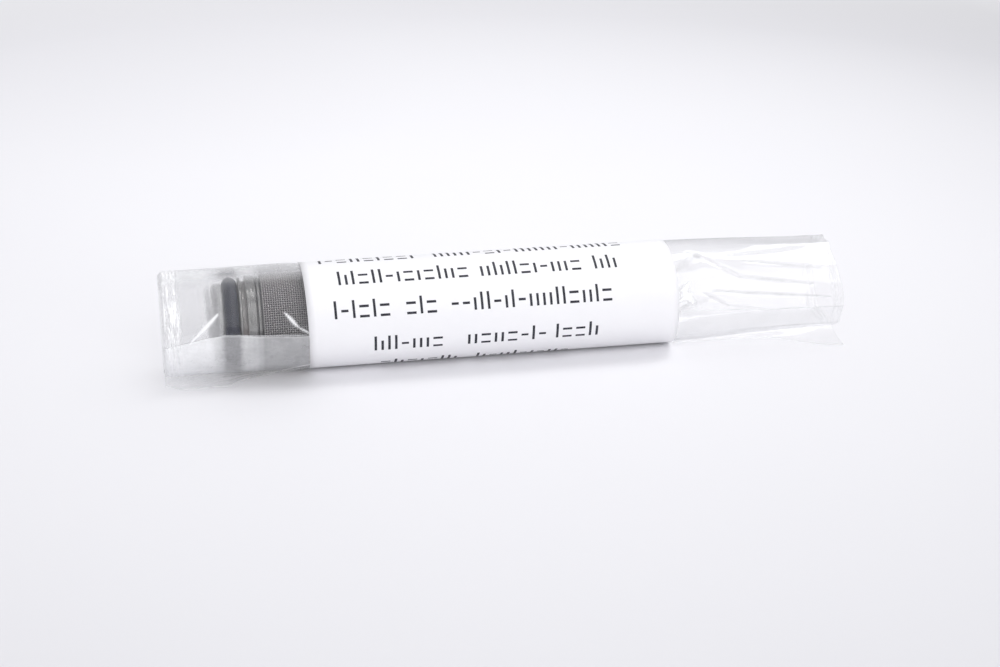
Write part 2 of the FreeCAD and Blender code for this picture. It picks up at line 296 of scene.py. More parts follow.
def outward_flip(points: Array, closed_columns: bool = False) -> bool:
    """Return whether a grid round the axis has its own normals pointing inwards.

    Args:
        points: Rows by columns by three.
        closed_columns: Whether each row closes on itself.

    Returns:
        True where the normals, summed along the ways out of the axis, come to less than 0.
    """
    out = points - np.array([0.0, 0.0, AXIS])
    out[..., 0] = 0.0
    return bool((grid_normals(points, closed_columns) * out).sum() < 0)


def thin_shell(
    points: Array, thickness: float, closed_columns: bool, flip: bool, values: dict[str, Array]
) -> Surface:
    """Return a closed sheet of even thickness: the grid, the same grid moved inwards, and its rims.

    Args:
        points: Rows by columns by three, on the outer side.
        thickness: Distance to the inner side, in millimetres.
        closed_columns: Whether each row closes on itself.
        flip: Whether the outer side is against the grid's own normal.
        values: Named values, rows by columns.

    Returns:
        The closed surface.
    """
    rows, columns = points.shape[:2]
    normal = grid_normals(points, closed_columns) * (-1 if flip else 1)
    inner = points - normal * thickness
    count = rows * columns
    outside = grid_quads(rows, columns, closed_columns=closed_columns)
    first, last = np.arange(columns), np.arange(columns) + (rows - 1) * columns
    rims = [(first, 1), (last, -1)]
    if not closed_columns:
        left, right = np.arange(rows) * columns, np.arange(rows) * columns + columns - 1
        rims += [(left, -1), (right, 1)]
    faces = [outside, outside[:, ::-1] + count]
    for edge, way in rims:
        ahead = np.roll(edge, -1) if closed_columns else edge[1:]
        here = edge if closed_columns else edge[:-1]
        strip = np.stack([here, ahead, ahead + count, here + count], axis=-1)
        faces.append(strip[:, ::way])
    faces = np.concatenate(faces)
    if flip:
        faces = faces[:, ::-1]
    doubled = {key: np.concatenate([v.ravel(), v.ravel()]) for key, v in values.items()}
    return Surface(np.concatenate([points.reshape(-1, 3), inner.reshape(-1, 3)]), faces, doubled)


def turned(profile: list[tuple[float, float]], edge_break: float, segments: int) -> Surface:
    """Return a lathe-turned solid: a closed outline of (x, radius) swept once round the axis.

    Every corner off the axis is broken by a short flat, so that the edges catch the light.

    Args:
        profile: The outline's corners, in order, with the solid on their left.
        edge_break: How far from a corner the flat starts, at most.
        segments: Number of steps round the axis.

    Returns:
        The closed surface.
    """
    corners = np.array(profile)
    before, after = np.roll(corners, 1, axis=0), np.roll(corners, -1, axis=0)
    outline = []
    for corner, near, far in zip(corners, before, after):
        if corner[1] < POLE_RADIUS:
            outline.append(corner)
            continue
        for other in (near, far):
            run = np.linalg.norm(other - corner)
            outline.append(corner + (other - corner) * min(edge_break, run * 0.3) / run)
    outline = np.array(outline)
    theta = np.linspace(0, 2 * np.pi, segments, endpoint=False)
    points = on_axis(outline[:, 0:1], outline[:, 1:2], theta[None, :])
    number = np.arange(len(outline) * segments).reshape(len(outline), segments)
    on_pole = outline[:, 1] < POLE_RADIUS
    number[on_pole] = number[on_pole][:, :1]
    quads = grid_quads(len(outline), segments, closed_rows=True, closed_columns=True)
    return triangles_of(points.reshape(-1, 3), number.ravel()[quads])


def triangles_of(points: Array, quads: Array) -> Surface:
    """Return quads as triangles, without those that a pole has closed and without unused points.

    Args:
        points: Points in millimetres.
        quads: Four point numbers a face, with equal numbers where a side has shrunk to a pole.

    Returns:
        The surface.
    """
    triangles = np.concatenate([quads[:, [0, 1, 2]], quads[:, [0, 2, 3]]])
    first, second, third = triangles.T
    whole = (first != second) & (second != third) & (third != first)
    used, faces = np.unique(triangles[whole], return_inverse=True)
    return Surface(points[used], faces.reshape(-1, 3))


# Shader graph


@dataclass
class Value:
    """A shader socket that takes part in Python expressions; each operation adds its Math node."""

    graph: "Graph"
    socket: bpy.types.NodeSocket

    def _math(self, operation: str, *inputs: Any) -> "Value":
        """Return the result of a Math node on the given inputs."""
        return self.graph.node("ShaderNodeMath", {"operation": operation}, dict(enumerate(inputs)))

    def __add__(self, other: Any) -> "Value":
        """Return self plus other."""
        return self._math("ADD", self, other)

    def __radd__(self, other: Any) -> "Value":
        """Return other plus self."""
        return self._math("ADD", other, self)

    def __sub__(self, other: Any) -> "Value":
        """Return self less other."""
        return self._math("SUBTRACT", self, other)

    def __rsub__(self, other: Any) -> "Value":
        """Return other less self."""
        return self._math("SUBTRACT", other, self)

    def __mul__(self, other: Any) -> "Value":
        """Return self times other."""
        return self._math("MULTIPLY", self, other)

    def __rmul__(self, other: Any) -> "Value":
        """Return other times self."""
        return self._math("MULTIPLY", other, self)

    def __truediv__(self, other: Any) -> "Value":
        """Return self divided by other."""
        return self._math("DIVIDE", self, other)

    def __pow__(self, other: Any) -> "Value":
        """Return self to the power of other."""
        return self._math("POWER", self, other)

    def sine(self) -> "Value":
        """Return the sine of self."""
        return self._math("SINE", self)

    def limited(self, low: float, high: float) -> "Value":
        """Return self kept between two numbers."""
        return self._math("MINIMUM", self._math("MAXIMUM", self, low), high)

    def clamped(self) -> "Value":
        """Return self kept between 0 and 1."""
        return self.limited(0.0, 1.0)

    def band(self, start: float, end: float, blur: float) -> "Value":
        """Return a mask that is 1 between two numbers, with soft edges.

        Args:
            start: Lower edge.
            end: Upper edge.
            blur: Width of each edge.

        Returns:
            The mask.
        """
        rise = ((self - start) / blur + 0.5).clamped()
        fall = ((end - self) / blur + 0.5).clamped()
        return rise * fall


class Graph:
    """The node tree of a material or world, filled by Python expressions."""

    def __init__(self, owner: bpy.types.Material | bpy.types.World) -> None:
        """Start an empty tree.

        Args:
            owner: The material or world.
        """
        self.owner = owner
        owner.use_nodes = True
        self.tree = owner.node_tree
        self.tree.nodes.clear()

    @classmethod
    def material(cls, name: str) -> "Graph":
        """Start a new material.

        Args:
            name: Its name.

        Returns:
            Its empty tree.
        """
        return cls(bpy.data.materials.new(name))

    def raw(
        self, kind: str, settings: dict[str, Any] | None = None, inputs: dict[Any, Any] | None = None
    ) -> bpy.types.Node:
        """Add a node: its settings first, then the values or links of its sockets.

        Args:
            kind: The node's type.
            settings: Its properties, such as a Math node's operation.
            inputs: Values, or Value links, by socket name or number.

        Returns:
            The node.
        """
        node = self.tree.nodes.new(kind)
        for key, value in (settings or {}).items():
            setattr(node, key, value)
        for key, value in (inputs or {}).items():
            socket = node.inputs[key]
            if isinstance(value, Value):
                self.tree.links.new(value.socket, socket)
            elif isinstance(value, bpy.types.NodeSocket):
                self.tree.links.new(value, socket)
            else:
                socket.default_value = value
        return node

    def node(
        self,
        kind: str,
        settings: dict[str, Any] | None = None,
        inputs: dict[Any, Any] | None = None,
        output: int | str = 0,
    ) -> Value:
        """Add a node and return one of its outputs.

        Args:
            kind: The node's type.
            settings: Its properties.
            inputs: Values or links by socket.
            output: The output's name or number.

        Returns:
            That output as a Value.
        """
        return Value(self, self.raw(kind, settings, inputs).outputs[output])

    def place(self) -> Value:
        """Return Object coordinates, in metres."""
        return self.node("ShaderNodeTexCoord", output="Object")

    def dot(self, first: Value | tuple, second: Value | tuple) -> Value:
        """Return the dot product of two vectors."""
        return self.node("ShaderNodeVectorMath", {"operation": "DOT_PRODUCT"}, {0: first, 1: second}, "Value")

    def stretched(self, scale: tuple[float, float, float]) -> Value:
        """Return Object coordinates times a scale, on which a pattern is drawn out."""
        return self.node("ShaderNodeMapping", None, {"Vector": self.place(), "Scale": scale})

    def axes(self) -> tuple[Value, Value, Value]:
        """Return Object coordinates one by one, in millimetres."""
        split = self.raw("ShaderNodeSeparateXYZ", None, {0: self.place()})
        x, y, z = (Value(self, split.outputs[i]) * (1 / MM) for i in range(3))
        return x, y, z

    def noise(self, vector: Value, scale: float, detail: float = 2.0, roughness: float = 0.5) -> Value:
        """Return fractal noise about one half.

        Args:
            vector: Coordinates.
            scale: Features a metre.
            detail: Number of octaves.
            roughness: Weight of the finer octaves.

        Returns:
            The noise.
        """
        inputs = {"Vector": vector, "Scale": scale, "Detail": detail, "Roughness": roughness}
        return self.node("ShaderNodeTexNoise", None, inputs)

    def attribute(self, name: str) -> Value:
        """Return a point's own named value."""
        return self.node("ShaderNodeAttribute", {"attribute_name": name}, output="Fac")

    def blend(self, share: Any, first: Any, second: Any) -> Value:
        """Return a mix of two colours, first at a share of 0 and second at 1."""
        inputs = {0: share, 6: first, 7: second}
        return self.node("ShaderNodeMix", {"data_type": "RGBA"}, inputs, output=2)

    def bump(self, height: Value, distance: float, strength: float = 1.0) -> Value:
        """Return a normal bent by a height of up to the given distance in metres."""
        inputs = {"Height": height, "Distance": distance, "Strength": strength}
        return self.node("ShaderNodeBump", None, inputs)

    def surface(
        self, inputs: dict[str, Any], share: Value | None = None, under: bpy.types.Node | None = None
    ) -> bpy.types.Material:
        """Finish the material.

        Args:
            inputs: The Principled shader's sockets.
            share: How much of the surface is that shader; None for all of it.
            under: The shader that shows where it isn't.

        Returns:
            The material.
        """
        shader = self.raw("ShaderNodeBsdfPrincipled", None, inputs).outputs[0]
        if share is not None:
            mixed = {0: share, 1: under.outputs[0], 2: shader}
            shader = self.raw("ShaderNodeMixShader", None, mixed).outputs[0]
        self.raw("ShaderNodeOutputMaterial", None, {"Surface": shader})
        return self.owner


Colour = tuple[float, float, float, float]
BACKDROP: Colour = (0.93, 0.93, 0.95, 1.0)


# Finishes


@dataclass(frozen=True)
class TurnedSteel:
    """Bright stainless steel with fine lathe lines, a reddish tint in one groove that is strongest towards the
    bottom, and painted shade in the neck grooves.
    """

    base: Colour = (0.47, 0.465, 0.455, 1.0)
    dark: Colour = (0.22, 0.218, 0.218, 1.0)
    tint: Colour = (0.34, 0.20, 0.16, 1.0)
    line_pitch: float = 0.09
    tint_start: float = -45.5
    tint_end: float = -44.5
    # painted_groove_shade is painted shade for the neck grooves.
    painted_groove_shade: Colour = (0.10, 0.098, 0.10, 1.0)
    neck_grooves: Outline = ((-43.1, -42.8), (-42.4, -42.1), (3.65, 3.95), (4.35, 4.65))

    def material(self) -> bpy.types.Material:
        """Return the finish as a material."""
        g = Graph.material("turned_steel")
        x, _, z = g.axes()
        stretch = g.stretched((9.0, 0.35, 0.35))
        streaks = g.noise(stretch, 900.0, 3.0, 0.6)
        lines = (x * (2 * np.pi / self.line_pitch)).sine() * 0.5 + 0.5
        patch = g.noise(g.place(), 260.0, 2.0)
        body = g.blend(streaks * 0.8, self.base, self.dark)
        # The tint in the relief groove is strongest towards the bottom and faint at the top.
        low = ((AXIS - z) / 7.0 + 0.3).clamped()
        tinted = x.band(self.tint_start, self.tint_end, 0.15) * (low * 0.7 + 0.1) * (patch + 0.35)
        colour = g.blend(tinted.clamped(), body, self.tint)
        # Painted shade: the neck grooves are darkened in the colour, where shade would fall in them.
        for start, end in self.neck_grooves:
            colour = g.blend(x.band(start, end, 0.08) * 0.8, colour, self.painted_groove_shade)
        rough = (streaks * 0.22 + patch * 0.1 + 0.14).limited(0.12, 0.6)
        normal = g.bump(lines * 0.5 + streaks, 0.000012, 0.8)
        return g.surface({"Base Color": colour, "Metallic": 1.0, "Roughness": rough, "Normal": normal})


@dataclass(frozen=True)
class WireSteel:
    """Drawn wire: greyer than the turned parts, and darker deeper in the weave as painted shade between the
    crossings.
    """

    base: Colour = (0.68, 0.675, 0.68, 1.0)
    dark: Colour = (0.29, 0.285, 0.295, 1.0)
    warm: Colour = (0.57, 0.50, 0.50, 1.0)

    def material(self) -> bpy.types.Material:
        """Return the finish as a material."""
        g = Graph.material("mesh_steel")
        fine = g.noise(g.place(), 2600.0, 2.0)
        broad = g.noise(g.place(), 140.0, 2.0)
        depth = g.attribute("depth")
        body = g.blend((broad * 0.7 + fine * 0.3).clamped(), self.base, self.warm)
        # Painted shade: the deeper a point lies in the weave, the closer its colour comes to the dark one.
        colour = g.blend((depth * 0.75 + fine * 0.15).clamped(), body, self.dark)
        rough = (broad * 0.15 + 0.28).limited(0.2, 0.6)
        return g.surface({"Base Color": colour, "Metallic": 1.0, "Roughness": rough})


@dataclass(frozen=True)
class ClothSteel:
    """Very fine woven cloth, dark between the guard's wires; its weave is only in the shading."""

    light: Colour = (0.20, 0.195, 0.19, 1.0)
    dark: Colour = (0.05, 0.05, 0.052, 1.0)
    pitch: float = 0.09

    def material(self) -> bpy.types.Material:
        """Return the finish as a material."""
        g = Graph.material("cloth_steel")
        x, y, z = g.axes()
        turn = g.node("ShaderNodeMath", {"operation": "ARCTAN2"}, {0: z - AXIS, 1: y})
        weave = (x * (2 * np.pi / self.pitch)).sine() * (turn * 490.0).sine() * 0.5 + 0.5
        colour = g.blend(weave, self.dark, self.light)
        return g.surface({"Base Color": colour, "Metallic": 0.9, "Roughness": weave * 0.2 + 0.4})


@dataclass(frozen=True)
class CoreSteel:
    """Rolled tube, satin and slightly scuffed."""

    base: Colour = (0.50, 0.49, 0.47, 1.0)
    dark: Colour = (0.33, 0.32, 0.31, 1.0)

    def material(self) -> bpy.types.Material:
        """Return the finish as a material."""
        g = Graph.material("core_steel")
        stretch = g.stretched((0.4, 4.0, 4.0))
        scuffs = g.noise(stretch, 500.0, 3.0, 0.6)
        colour = g.blend(scuffs, self.base, self.dark)
        return g.surface({"Base Color": colour, "Metallic": 1.0, "Roughness": scuffs * 0.3 + 0.25})


@dataclass(frozen=True)
class SealRubber:
    """Dark blue-grey rubber with a satin skin, a few pale specks and a bloom."""

    base: Colour = (0.009, 0.011, 0.024, 1.0)
    bloom: Colour = (0.022, 0.026, 0.048, 1.0)
    gloss: float = 0.3

    def material(self) -> bpy.types.Material:
        """Return the finish as a material."""
        g = Graph.material("seal_rubber")
        broad = g.noise(g.place(), 420.0, 3.0, 0.6)
        grain = g.noise(g.place(), 5200.0, 2.0)
        specks = ((g.noise(g.place(), 2400.0, 0.0) - 0.72) * 14.0).clamped()
        share = (broad * 0.8 - 0.12 + specks * 0.5).clamped()
        colour = g.blend(share, self.base, self.bloom)
        rough = (broad * 0.2 + 0.34).limited(0.2, 0.8)
        inputs = {"Base Color": colour, "Roughness": rough, "Normal": g.bump(grain, 0.00001, 0.7)}
        inputs["Specular IOR Level"] = self.gloss
        return g.surface(inputs)


@dataclass(frozen=True)
class LabelPaper:
    """Coated white label paper with a faint fibre grain."""

    base: Colour = (0.88, 0.875, 0.895, 1.0)
    shade: Colour = (0.82, 0.82, 0.845, 1.0)

    def material(self) -> bpy.types.Material:
        """Return the finish as a material."""
        g = Graph.material("label_paper")
        stretch = g.stretched((1.0, 3.0, 3.0))
        fibre = g.noise(stretch, 2200.0, 4.0, 0.65)
        cockle = g.noise(g.place(), 160.0, 2.0)
        colour = g.blend((fibre * 0.5 + cockle * 0.3 - 0.1).clamped(), self.base, self.shade)
        normal = g.bump(fibre + cockle * 2.0, 0.00002, 0.5)
        rough = (fibre * 0.15 + 0.5).limited(0.3, 0.9)
        return g.surface({"Base Color": colour, "Roughness": rough, "Normal": normal})


@dataclass(frozen=True)
class PrintInk:
    """Printer's dark ink, slightly worn."""

    base: Colour = (0.010, 0.010, 0.018, 1.0)
    worn: Colour = (0.06, 0.06, 0.085, 1.0)

    def material(self) -> bpy.types.Material:
        """Return the finish as a material."""
        g = Graph.material("label_ink")
        patch = g.noise(g.place(), 1500.0, 3.0, 0.7)
        colour = g.blend(((patch - 0.45) * 3.0).clamped(), self.base, self.worn)
        return g.surface({"Base Color": colour, "Roughness": patch * 0.2 + 0.45})


@dataclass(frozen=True)
class ClearFilm:
    """Clear film: mirror-like by Fresnel, with a milky haze that its own point values carry.

    Haze is how much of the film is milky, shade how grey that milk looks, crease a white fold, and band
    the sealed end, whose whiteness is broken into jagged streaks. Over the cartridge the grey is painted
    shade, its blurred image painted in; the white of folds, edges and the band is painted highlight.
    """

    light: Colour = (0.87, 0.875, 0.89, 1.0)
    # dark is the milk's grey for painted shade; the white below it is the painted highlight of folds, edges and
    # the sealed band.
    dark: Colour = (0.33, 0.33, 0.34, 1.0)
    painted_highlight: Colour = (0.97, 0.975, 0.985, 1.0)
    gloss_index: float = 1.43
    wrinkle: float = 0.00003
    streak_scale: float = 2600.0
    edge_on_haze: float = 1.2
    forward_light: float = 0.9

    def material(self) -> bpy.types.Material:
        """Return the finish as a material."""
        g = Graph.material("clear_film")
        broad = g.noise(g.place(), 210.0, 3.0, 0.55)
        fine = g.noise(g.place(), 1700.0, 3.0, 0.6)
        stretch = g.stretched((1.0, 0.13, 0.13))
        streaks = ((g.noise(stretch, self.streak_scale, 2.0, 0.6) - 0.41) * 8.0).clamped()
        # Painted highlight: folds, ply edges and the sealed band's streaks whiten the film.
        white = (g.attribute("crease") + g.attribute("band") * streaks).clamped()
        normal = g.bump(broad * 1.6 + fine * 0.35, self.wrinkle, 0.7)
        edge_on = g.node("ShaderNodeLayerWeight", None, {"Blend": 0.5}, output="Facing")
        cloud = broad * 1.1 + fine * 0.4 + 0.25
        milk = g.attribute("haze") * cloud * (edge_on**3 * self.edge_on_haze + 1.0)
        haze = (milk + white * 0.8).limited(0.0, 0.96)
        inside = g.node("ShaderNodeNewGeometry", output="Backfacing")
        index = self.gloss_index - inside * (self.gloss_index - 1 / self.gloss_index)
        gloss = g.node("ShaderNodeFresnel", None, {"IOR": index, "Normal": normal})
        there = haze + gloss - haze * gloss
        metallic = (gloss / (there + 0.0001)).clamped()
        passing = there * (1.0 - self.light_passing(g) * self.forward_light)
        # The shade value greys the milk with painted shade; white turns it to the painted highlight colour.
        colour = g.blend(white, g.blend(g.attribute("shade"), self.light, self.dark), self.painted_highlight)
        rough = (haze * 0.35 + fine * 0.06 + 0.07).limited(0.05, 0.6)
        inputs = {"Base Color": colour, "Metallic": metallic, "Roughness": rough, "Normal": normal}
        inputs["Specular IOR Level"] = 0.0
        return g.surface(inputs, passing, g.raw("ShaderNodeBsdfTransparent"))

    @staticmethod
    def light_passing(g: Graph) -> Value:
        """Return 1 for light on its way past the film, most of which even milky film lets through."""
        shadow = g.node("ShaderNodeLightPath", output="Is Shadow Ray")
        bounced = g.node("ShaderNodeLightPath", output="Is Diffuse Ray")
        return (shadow + bounced).clamped()


@dataclass(frozen=True)
class TableTop:
    """Matt white table that keeps the shadow, greys off its middle with painted shade where light falls off,
    and fades into the backdrop when seen.
    """

    base: Colour = (0.95, 0.946, 0.972, 1.0)
    # far is the grey of the painted shade away from the middle.
    far: Colour = (0.62, 0.618, 0.64, 1.0)
    middle: tuple[float, float] = (-44.0, 200.0)
    reach: tuple[float, float] = (249.0, 332.0)
    even_share: float = 0.06
    fade_middle: tuple[float, float] = (0.0, 60.0)
    fade_start: float = 230.0
    fade_width: float = 170.0

    def material(self) -> bpy.types.Material:
        """Return the finish as a material."""
        g = Graph.material("table_top")
        x, y, _ = g.axes()
        # Painted shade: the colour greys off the middle, where the light falls off.
        aside = (x - self.middle[0]) / self.reach[0]
        depth = (y - self.middle[1]) / self.reach[1]
        cloud = g.noise(g.place(), 9.0, 2.0) * 0.06 - 0.03
        share = aside * aside + depth * depth - self.even_share + cloud
        colour = g.blend(share.clamped(), self.base, self.far)
        away = ((x - self.fade_middle[0]) ** 2.0 + (y - self.fade_middle[1]) ** 2.0) ** 0.5
        faded = ((away - self.fade_start) / self.fade_width).clamped()
        seen = g.node("ShaderNodeLightPath", output="Is Camera Ray")
        inputs = {"Base Color": colour, "Roughness": 0.7, "Specular IOR Level": 0.2}
        return g.surface(inputs, 1.0 - faded * seen, g.raw("ShaderNodeEmission", None, {"Color": BACKDROP}))


# Cartridge


@dataclass
class Caps:
    """The turned caps at both ends of the mesh, worked out from their boxes and a few turned sizes."""

    boss_dia: float = 12.5
    boss_land: float = 1.7
    boss_chamfer: float = 0.45
    groove_width: float = 2.8
    groove_floor: float = 4.595
    lip_dia: float = 14.1
    lip_width: float = 0.4
    relief_dia: float = 12.9
    relief_width: float = 0.8
    collar_width: float = 1.5
    neck_groove: float = 13.7
    neck_ridge: float = 14.4
    neck_steps: tuple[float, float, float, float] = (0.0, 0.3, 0.7, 1.0)
    bore_dia: float = 6.0
    bore_chamfer: float = 0.4
    pocket_dia: float = 10.6
    pocket_depth: float = 4.0
    spigot_dia: float = 12.6
    spigot_length: float = 3.0
    flange_chamfer: float = 0.5
    edge_break: float = 0.05
    sharp_degrees: float = 32.0
    segments: int = 256

    def neck(self, x: float, step: int) -> list[tuple[float, float]]:
        """Return the turned lines beside the mesh.

        Args:
            x: Where they start.
            step: Which way along X they run.

        Returns:
            Outline points of (x, radius).
        """
        radii = (self.neck_groove / 2, self.neck_ridge / 2, self.neck_groove / 2)
        points = []
        for first, last, radius in zip(self.neck_steps, self.neck_steps[1:], radii):
            points += [(x + step * first, radius), (x + step * last, radius)]
        return points

    def outlet_profile(self) -> list[tuple[float, float]]:
        """Return the outlet cap's outline, from its tip inwards and back along its bore."""
        span = Span.of("outlet_cap")
        boss, collar = self.boss_dia / 2, span.radius
        groove = span.start + self.boss_land
        lip = groove + self.groove_width
        relief = lip + self.lip_width
        collar_start = relief + self.relief_width
        collar_end = collar_start + self.collar_width
        shoulder = collar_end + self.neck_steps[-1]
        bore, pocket = self.bore_dia / 2, self.pocket_dia / 2
        outside = [
            (span.start, boss - self.boss_chamfer),
            (span.start + self.boss_chamfer, boss),
            (groove, boss),
            (groove, self.groove_floor),
            (lip, self.groove_floor),
            (lip, self.lip_dia / 2),
            (relief, self.lip_dia / 2),
            (relief, self.relief_dia / 2),
            (collar_start, self.relief_dia / 2),
            (collar_start, collar),
            (collar_end, collar),
        ]
        inside = [
            (shoulder, self.spigot_dia / 2),
            (span.end, self.spigot_dia / 2),
            (span.end, pocket),
            (span.end - self.pocket_depth, pocket),
            (span.end - self.pocket_depth, bore),
            (span.start + self.bore_chamfer, bore),
            (span.start, bore + self.bore_chamfer),
        ]
        return outside + self.neck(collar_end, 1) + inside

    def blind_profile(self) -> list[tuple[float, float]]:
        """Return the blind cap's outline, from its outer face inwards."""
        span = Span.of("blind_cap")
        shoulder = span.start + self.spigot_length
        flange_start = shoulder + self.neck_steps[-1]
        neck = self.neck(flange_start, -1)[::-1]
        return [
            (span.start, 0.0),
            (span.start, self.spigot_dia / 2),
            (shoulder, self.spigot_dia / 2),
            *neck,
            (flange_start, span.radius),
            (span.end - self.flange_chamfer, span.radius),
            (span.end, span.radius - self.flange_chamfer),
            (span.end, 0.0),
        ]

    def build(self) -> None:
        """Make both caps."""
        steel = TurnedSteel().material()
        for node, profile in (("outlet_cap", self.outlet_profile()), ("blind_cap", self.blind_profile())):
            solid = turned(profile, self.edge_break, self.segments)
            piece = solid.build(f"{node}_turned", steel, "turned_steel")
            piece.data.set_sharp_from_angle(angle=np.radians(self.sharp_degrees))
            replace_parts(piece, node)


@dataclass
class SealRing:
    """The O-ring, with the low flash line that its mould leaves round its outside."""

    bore: float = 9.19
    section: float = 2.62
    flash_height: float = 0.035
    flash_width: float = 0.16
    steps_round: int = 224
    steps_section: int = 56

    def build(self) -> None:
        """Make the ring: a circle of points round the section, carried round the axis.

        The section's radius is half its thickness, plus the flash as a narrow bell curve at the outside.
        """
        span = Span.of("outlet_o_ring")
        middle = (span.start + span.end) / 2
        turn = np.linspace(0, 2 * np.pi, self.steps_section, endpoint=False)
        flash = self.flash_height * bell(turn_from(turn, np.pi / 2), self.flash_width)
        half = self.section / 2 + flash - self.flash_height / 2
        x = middle + half * np.cos(turn)
        radius = (self.bore + self.section) / 2 + half * np.sin(turn)
        theta = np.linspace(0, 2 * np.pi, self.steps_round, endpoint=False)
        points = on_axis(x[:, None], radius[:, None], theta[None, :])
        faces = grid_quads(self.steps_section, self.steps_round, True, True)[:, ::-1]
        ring = Surface(points.reshape(-1, 3), faces)
        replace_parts(ring.build("seal_ring", SealRubber().material(), "seal_rubber"), "outlet_o_ring")


@dataclass
class GuardWeave:
    """The guard mesh as real plain-woven wire: lengthwise warp and hooped weft that pass over and under."""

    pitch: float = 0.38
    wire_dia: float = 0.2
    sides: int = 4
    flat_top: float = 1.45
    seam_degrees: float = 171.0
    seam_width: float = 2.4
    seam_sunk: float = 0.005
    seam_thickness: float = 0.1
    spot_pitch: float = 1.6
    spot_width: float = 0.6
    spot_depth: float = 0.07

    def __post_init__(self) -> None:
        """Work out the wires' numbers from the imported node."""
        self.span = Span.of("guard_mesh")
        self.middle = self.span.radius - self.wire_dia
        self.warps = 2 * round(np.pi * self.middle / self.pitch)
        self.wefts = int((self.span.end - self.span.start) / self.pitch)
        self.step = (self.span.end - self.span.start - self.wire_dia) / (self.wefts - 1)
        self.turn = 2 * np.pi / self.warps

    def wave(self, place: Array) -> Array:
        """Return how far out a wire lies: a flat-topped wave that changes side once every crossing."""
        return np.clip(np.cos(np.pi * place) * self.flat_top, -1.0, 1.0) * self.wire_dia / 2

    def tube(self, middle: Array, out: Array, aside: Array, closed: bool) -> Surface:
        """Return many wires at once: a small polygon carried along each middle line.

        Args:
            middle: Wires by places by three.
            out: Unit directions away from the axis, of the same shape.
            aside: Unit directions across the wire, of the same shape.
            closed: Whether each wire closes on itself.

        Returns:
            All the wires, with a value for how deep in the weave each point lies.
        """
        wires, places = middle.shape[:2]
        corner = 2 * np.pi * np.arange(self.sides) / self.sides
        half = self.wire_dia / 2
        up, beside = (half * np.sin(corner))[:, None], (half * np.cos(corner))[:, None]
        points = middle[:, :, None] + (out[:, :, None] * up + aside[:, :, None] * beside)
        one = grid_quads(places, self.sides, closed_rows=closed, closed_columns=True)
        if not closed:
            cap = np.arange(self.sides)
            one = np.concatenate([one, cap[None], (places * self.sides - 1 - cap)[None]])
        faces = (one[None] + (np.arange(wires) * places * self.sides)[:, None, None]).reshape(-1, 4)
        # depth feeds the wire finish's painted shade.
        radius = np.hypot(points[..., 1], points[..., 2] - AXIS)
        depth = np.clip((self.span.radius - radius) / (2 * self.wire_dia), 0.0, 1.0)
        return Surface(points.reshape(-1, 3), faces, {"depth": depth.ravel()})

    def warp(self, parity: int) -> Surface:
        """Return every second lengthwise wire."""
        wire = np.arange(parity, self.warps, 2)
        places = np.arange(-0.25, self.wefts - 0.5, 0.5)
        x = self.span.start + self.wire_dia / 2 + self.step * places
        x = np.clip(x, self.span.start, self.span.end)
        theta = (self.turn * wire)[:, None] + 0.0 * x[None, :]
        radius = self.middle + self.wave(places[None, :] + parity)
        middle = on_axis(x[None, :], radius + 0.0 * theta, theta)
        aside = np.stack([0.0 * theta, -np.sin(theta), -np.cos(theta)], axis=-1)
        return self.tube(middle, outward(theta), aside, False)

    def weft(self, parity: int) -> Surface:
        """Return every second hoop."""
        hoop = np.arange(parity, self.wefts, 2)
        places = np.arange(-0.25, self.warps - 0.5, 0.5)
        x = self.span.start + self.wire_dia / 2 + self.step * hoop
        theta = self.turn * places[None, :] + 0.0 * x[:, None]
        radius = self.middle - self.wave(places[None, :] + parity)
        middle = on_axis(x[:, None] + 0.0 * theta, radius + 0.0 * theta, theta)
        out = outward(theta)
        aside = np.zeros_like(out)
        aside[..., 0] = 1.0
        return self.tube(middle, out, aside, True)

    def seam(self) -> Surface:
        """Return the welded lap down the back: a thin raised strip with a row of pressed spots.

        Its height is a flat top less a shallow bell curve at every spot.
        """
        x = np.linspace(self.span.start, self.span.end, 144)[:, None]
        half = self.seam_width / 2 / self.middle
        across = np.linspace(-half, half, 9)[None, :]
        theta = np.radians(self.seam_degrees) + across
        spot = np.cos(2 * np.pi * x / self.spot_pitch) * 0.5 + 0.5
        dip = self.spot_depth * spot**3 * bell(across * self.middle, self.spot_width)
        radius = self.span.radius - self.seam_sunk - dip
        points = on_axis(x + 0.0 * theta, radius, theta + 0.0 * x)
        shell = thin_shell(points, self.seam_thickness, False, outward_flip(points), {})
        shell.values["depth"] = np.zeros(len(shell.points))
        return shell

    def build(self) -> None:
        """Make the four sets of wires and the seam."""
        steel = WireSteel().material()
        makers: dict[str, Callable[[], Surface]] = {
            "warp_wires_even": lambda: self.warp(0),
            "warp_wires_odd": lambda: self.warp(1),
            "weft_wires_even": lambda: self.weft(0),
            "weft_wires_odd": lambda: self.weft(1),
            "mesh_seam": self.seam,
        }
        for name, make in makers.items():
            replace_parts(make().build(name, steel, "mesh_steel"), "guard_mesh")


def dress_inner_nodes() -> None:
    """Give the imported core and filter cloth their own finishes."""
    for node, finish in {"support_core": CoreSteel(), "filter_cloth": ClothSteel()}.items():
        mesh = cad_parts[node].data
        mesh.materials.clear()
        mesh.materials.append(finish.material())
        log.info("%s keeps its packed shape", node)


# Film sleeve


class Skin(NamedTuple):
    """The outer turn's radius, and how white or grey its folds and how white its sealed bands are, as painted
    highlight and painted shade.
    """

    radius: Array
    white: Array
    grey: Array
    band: Array


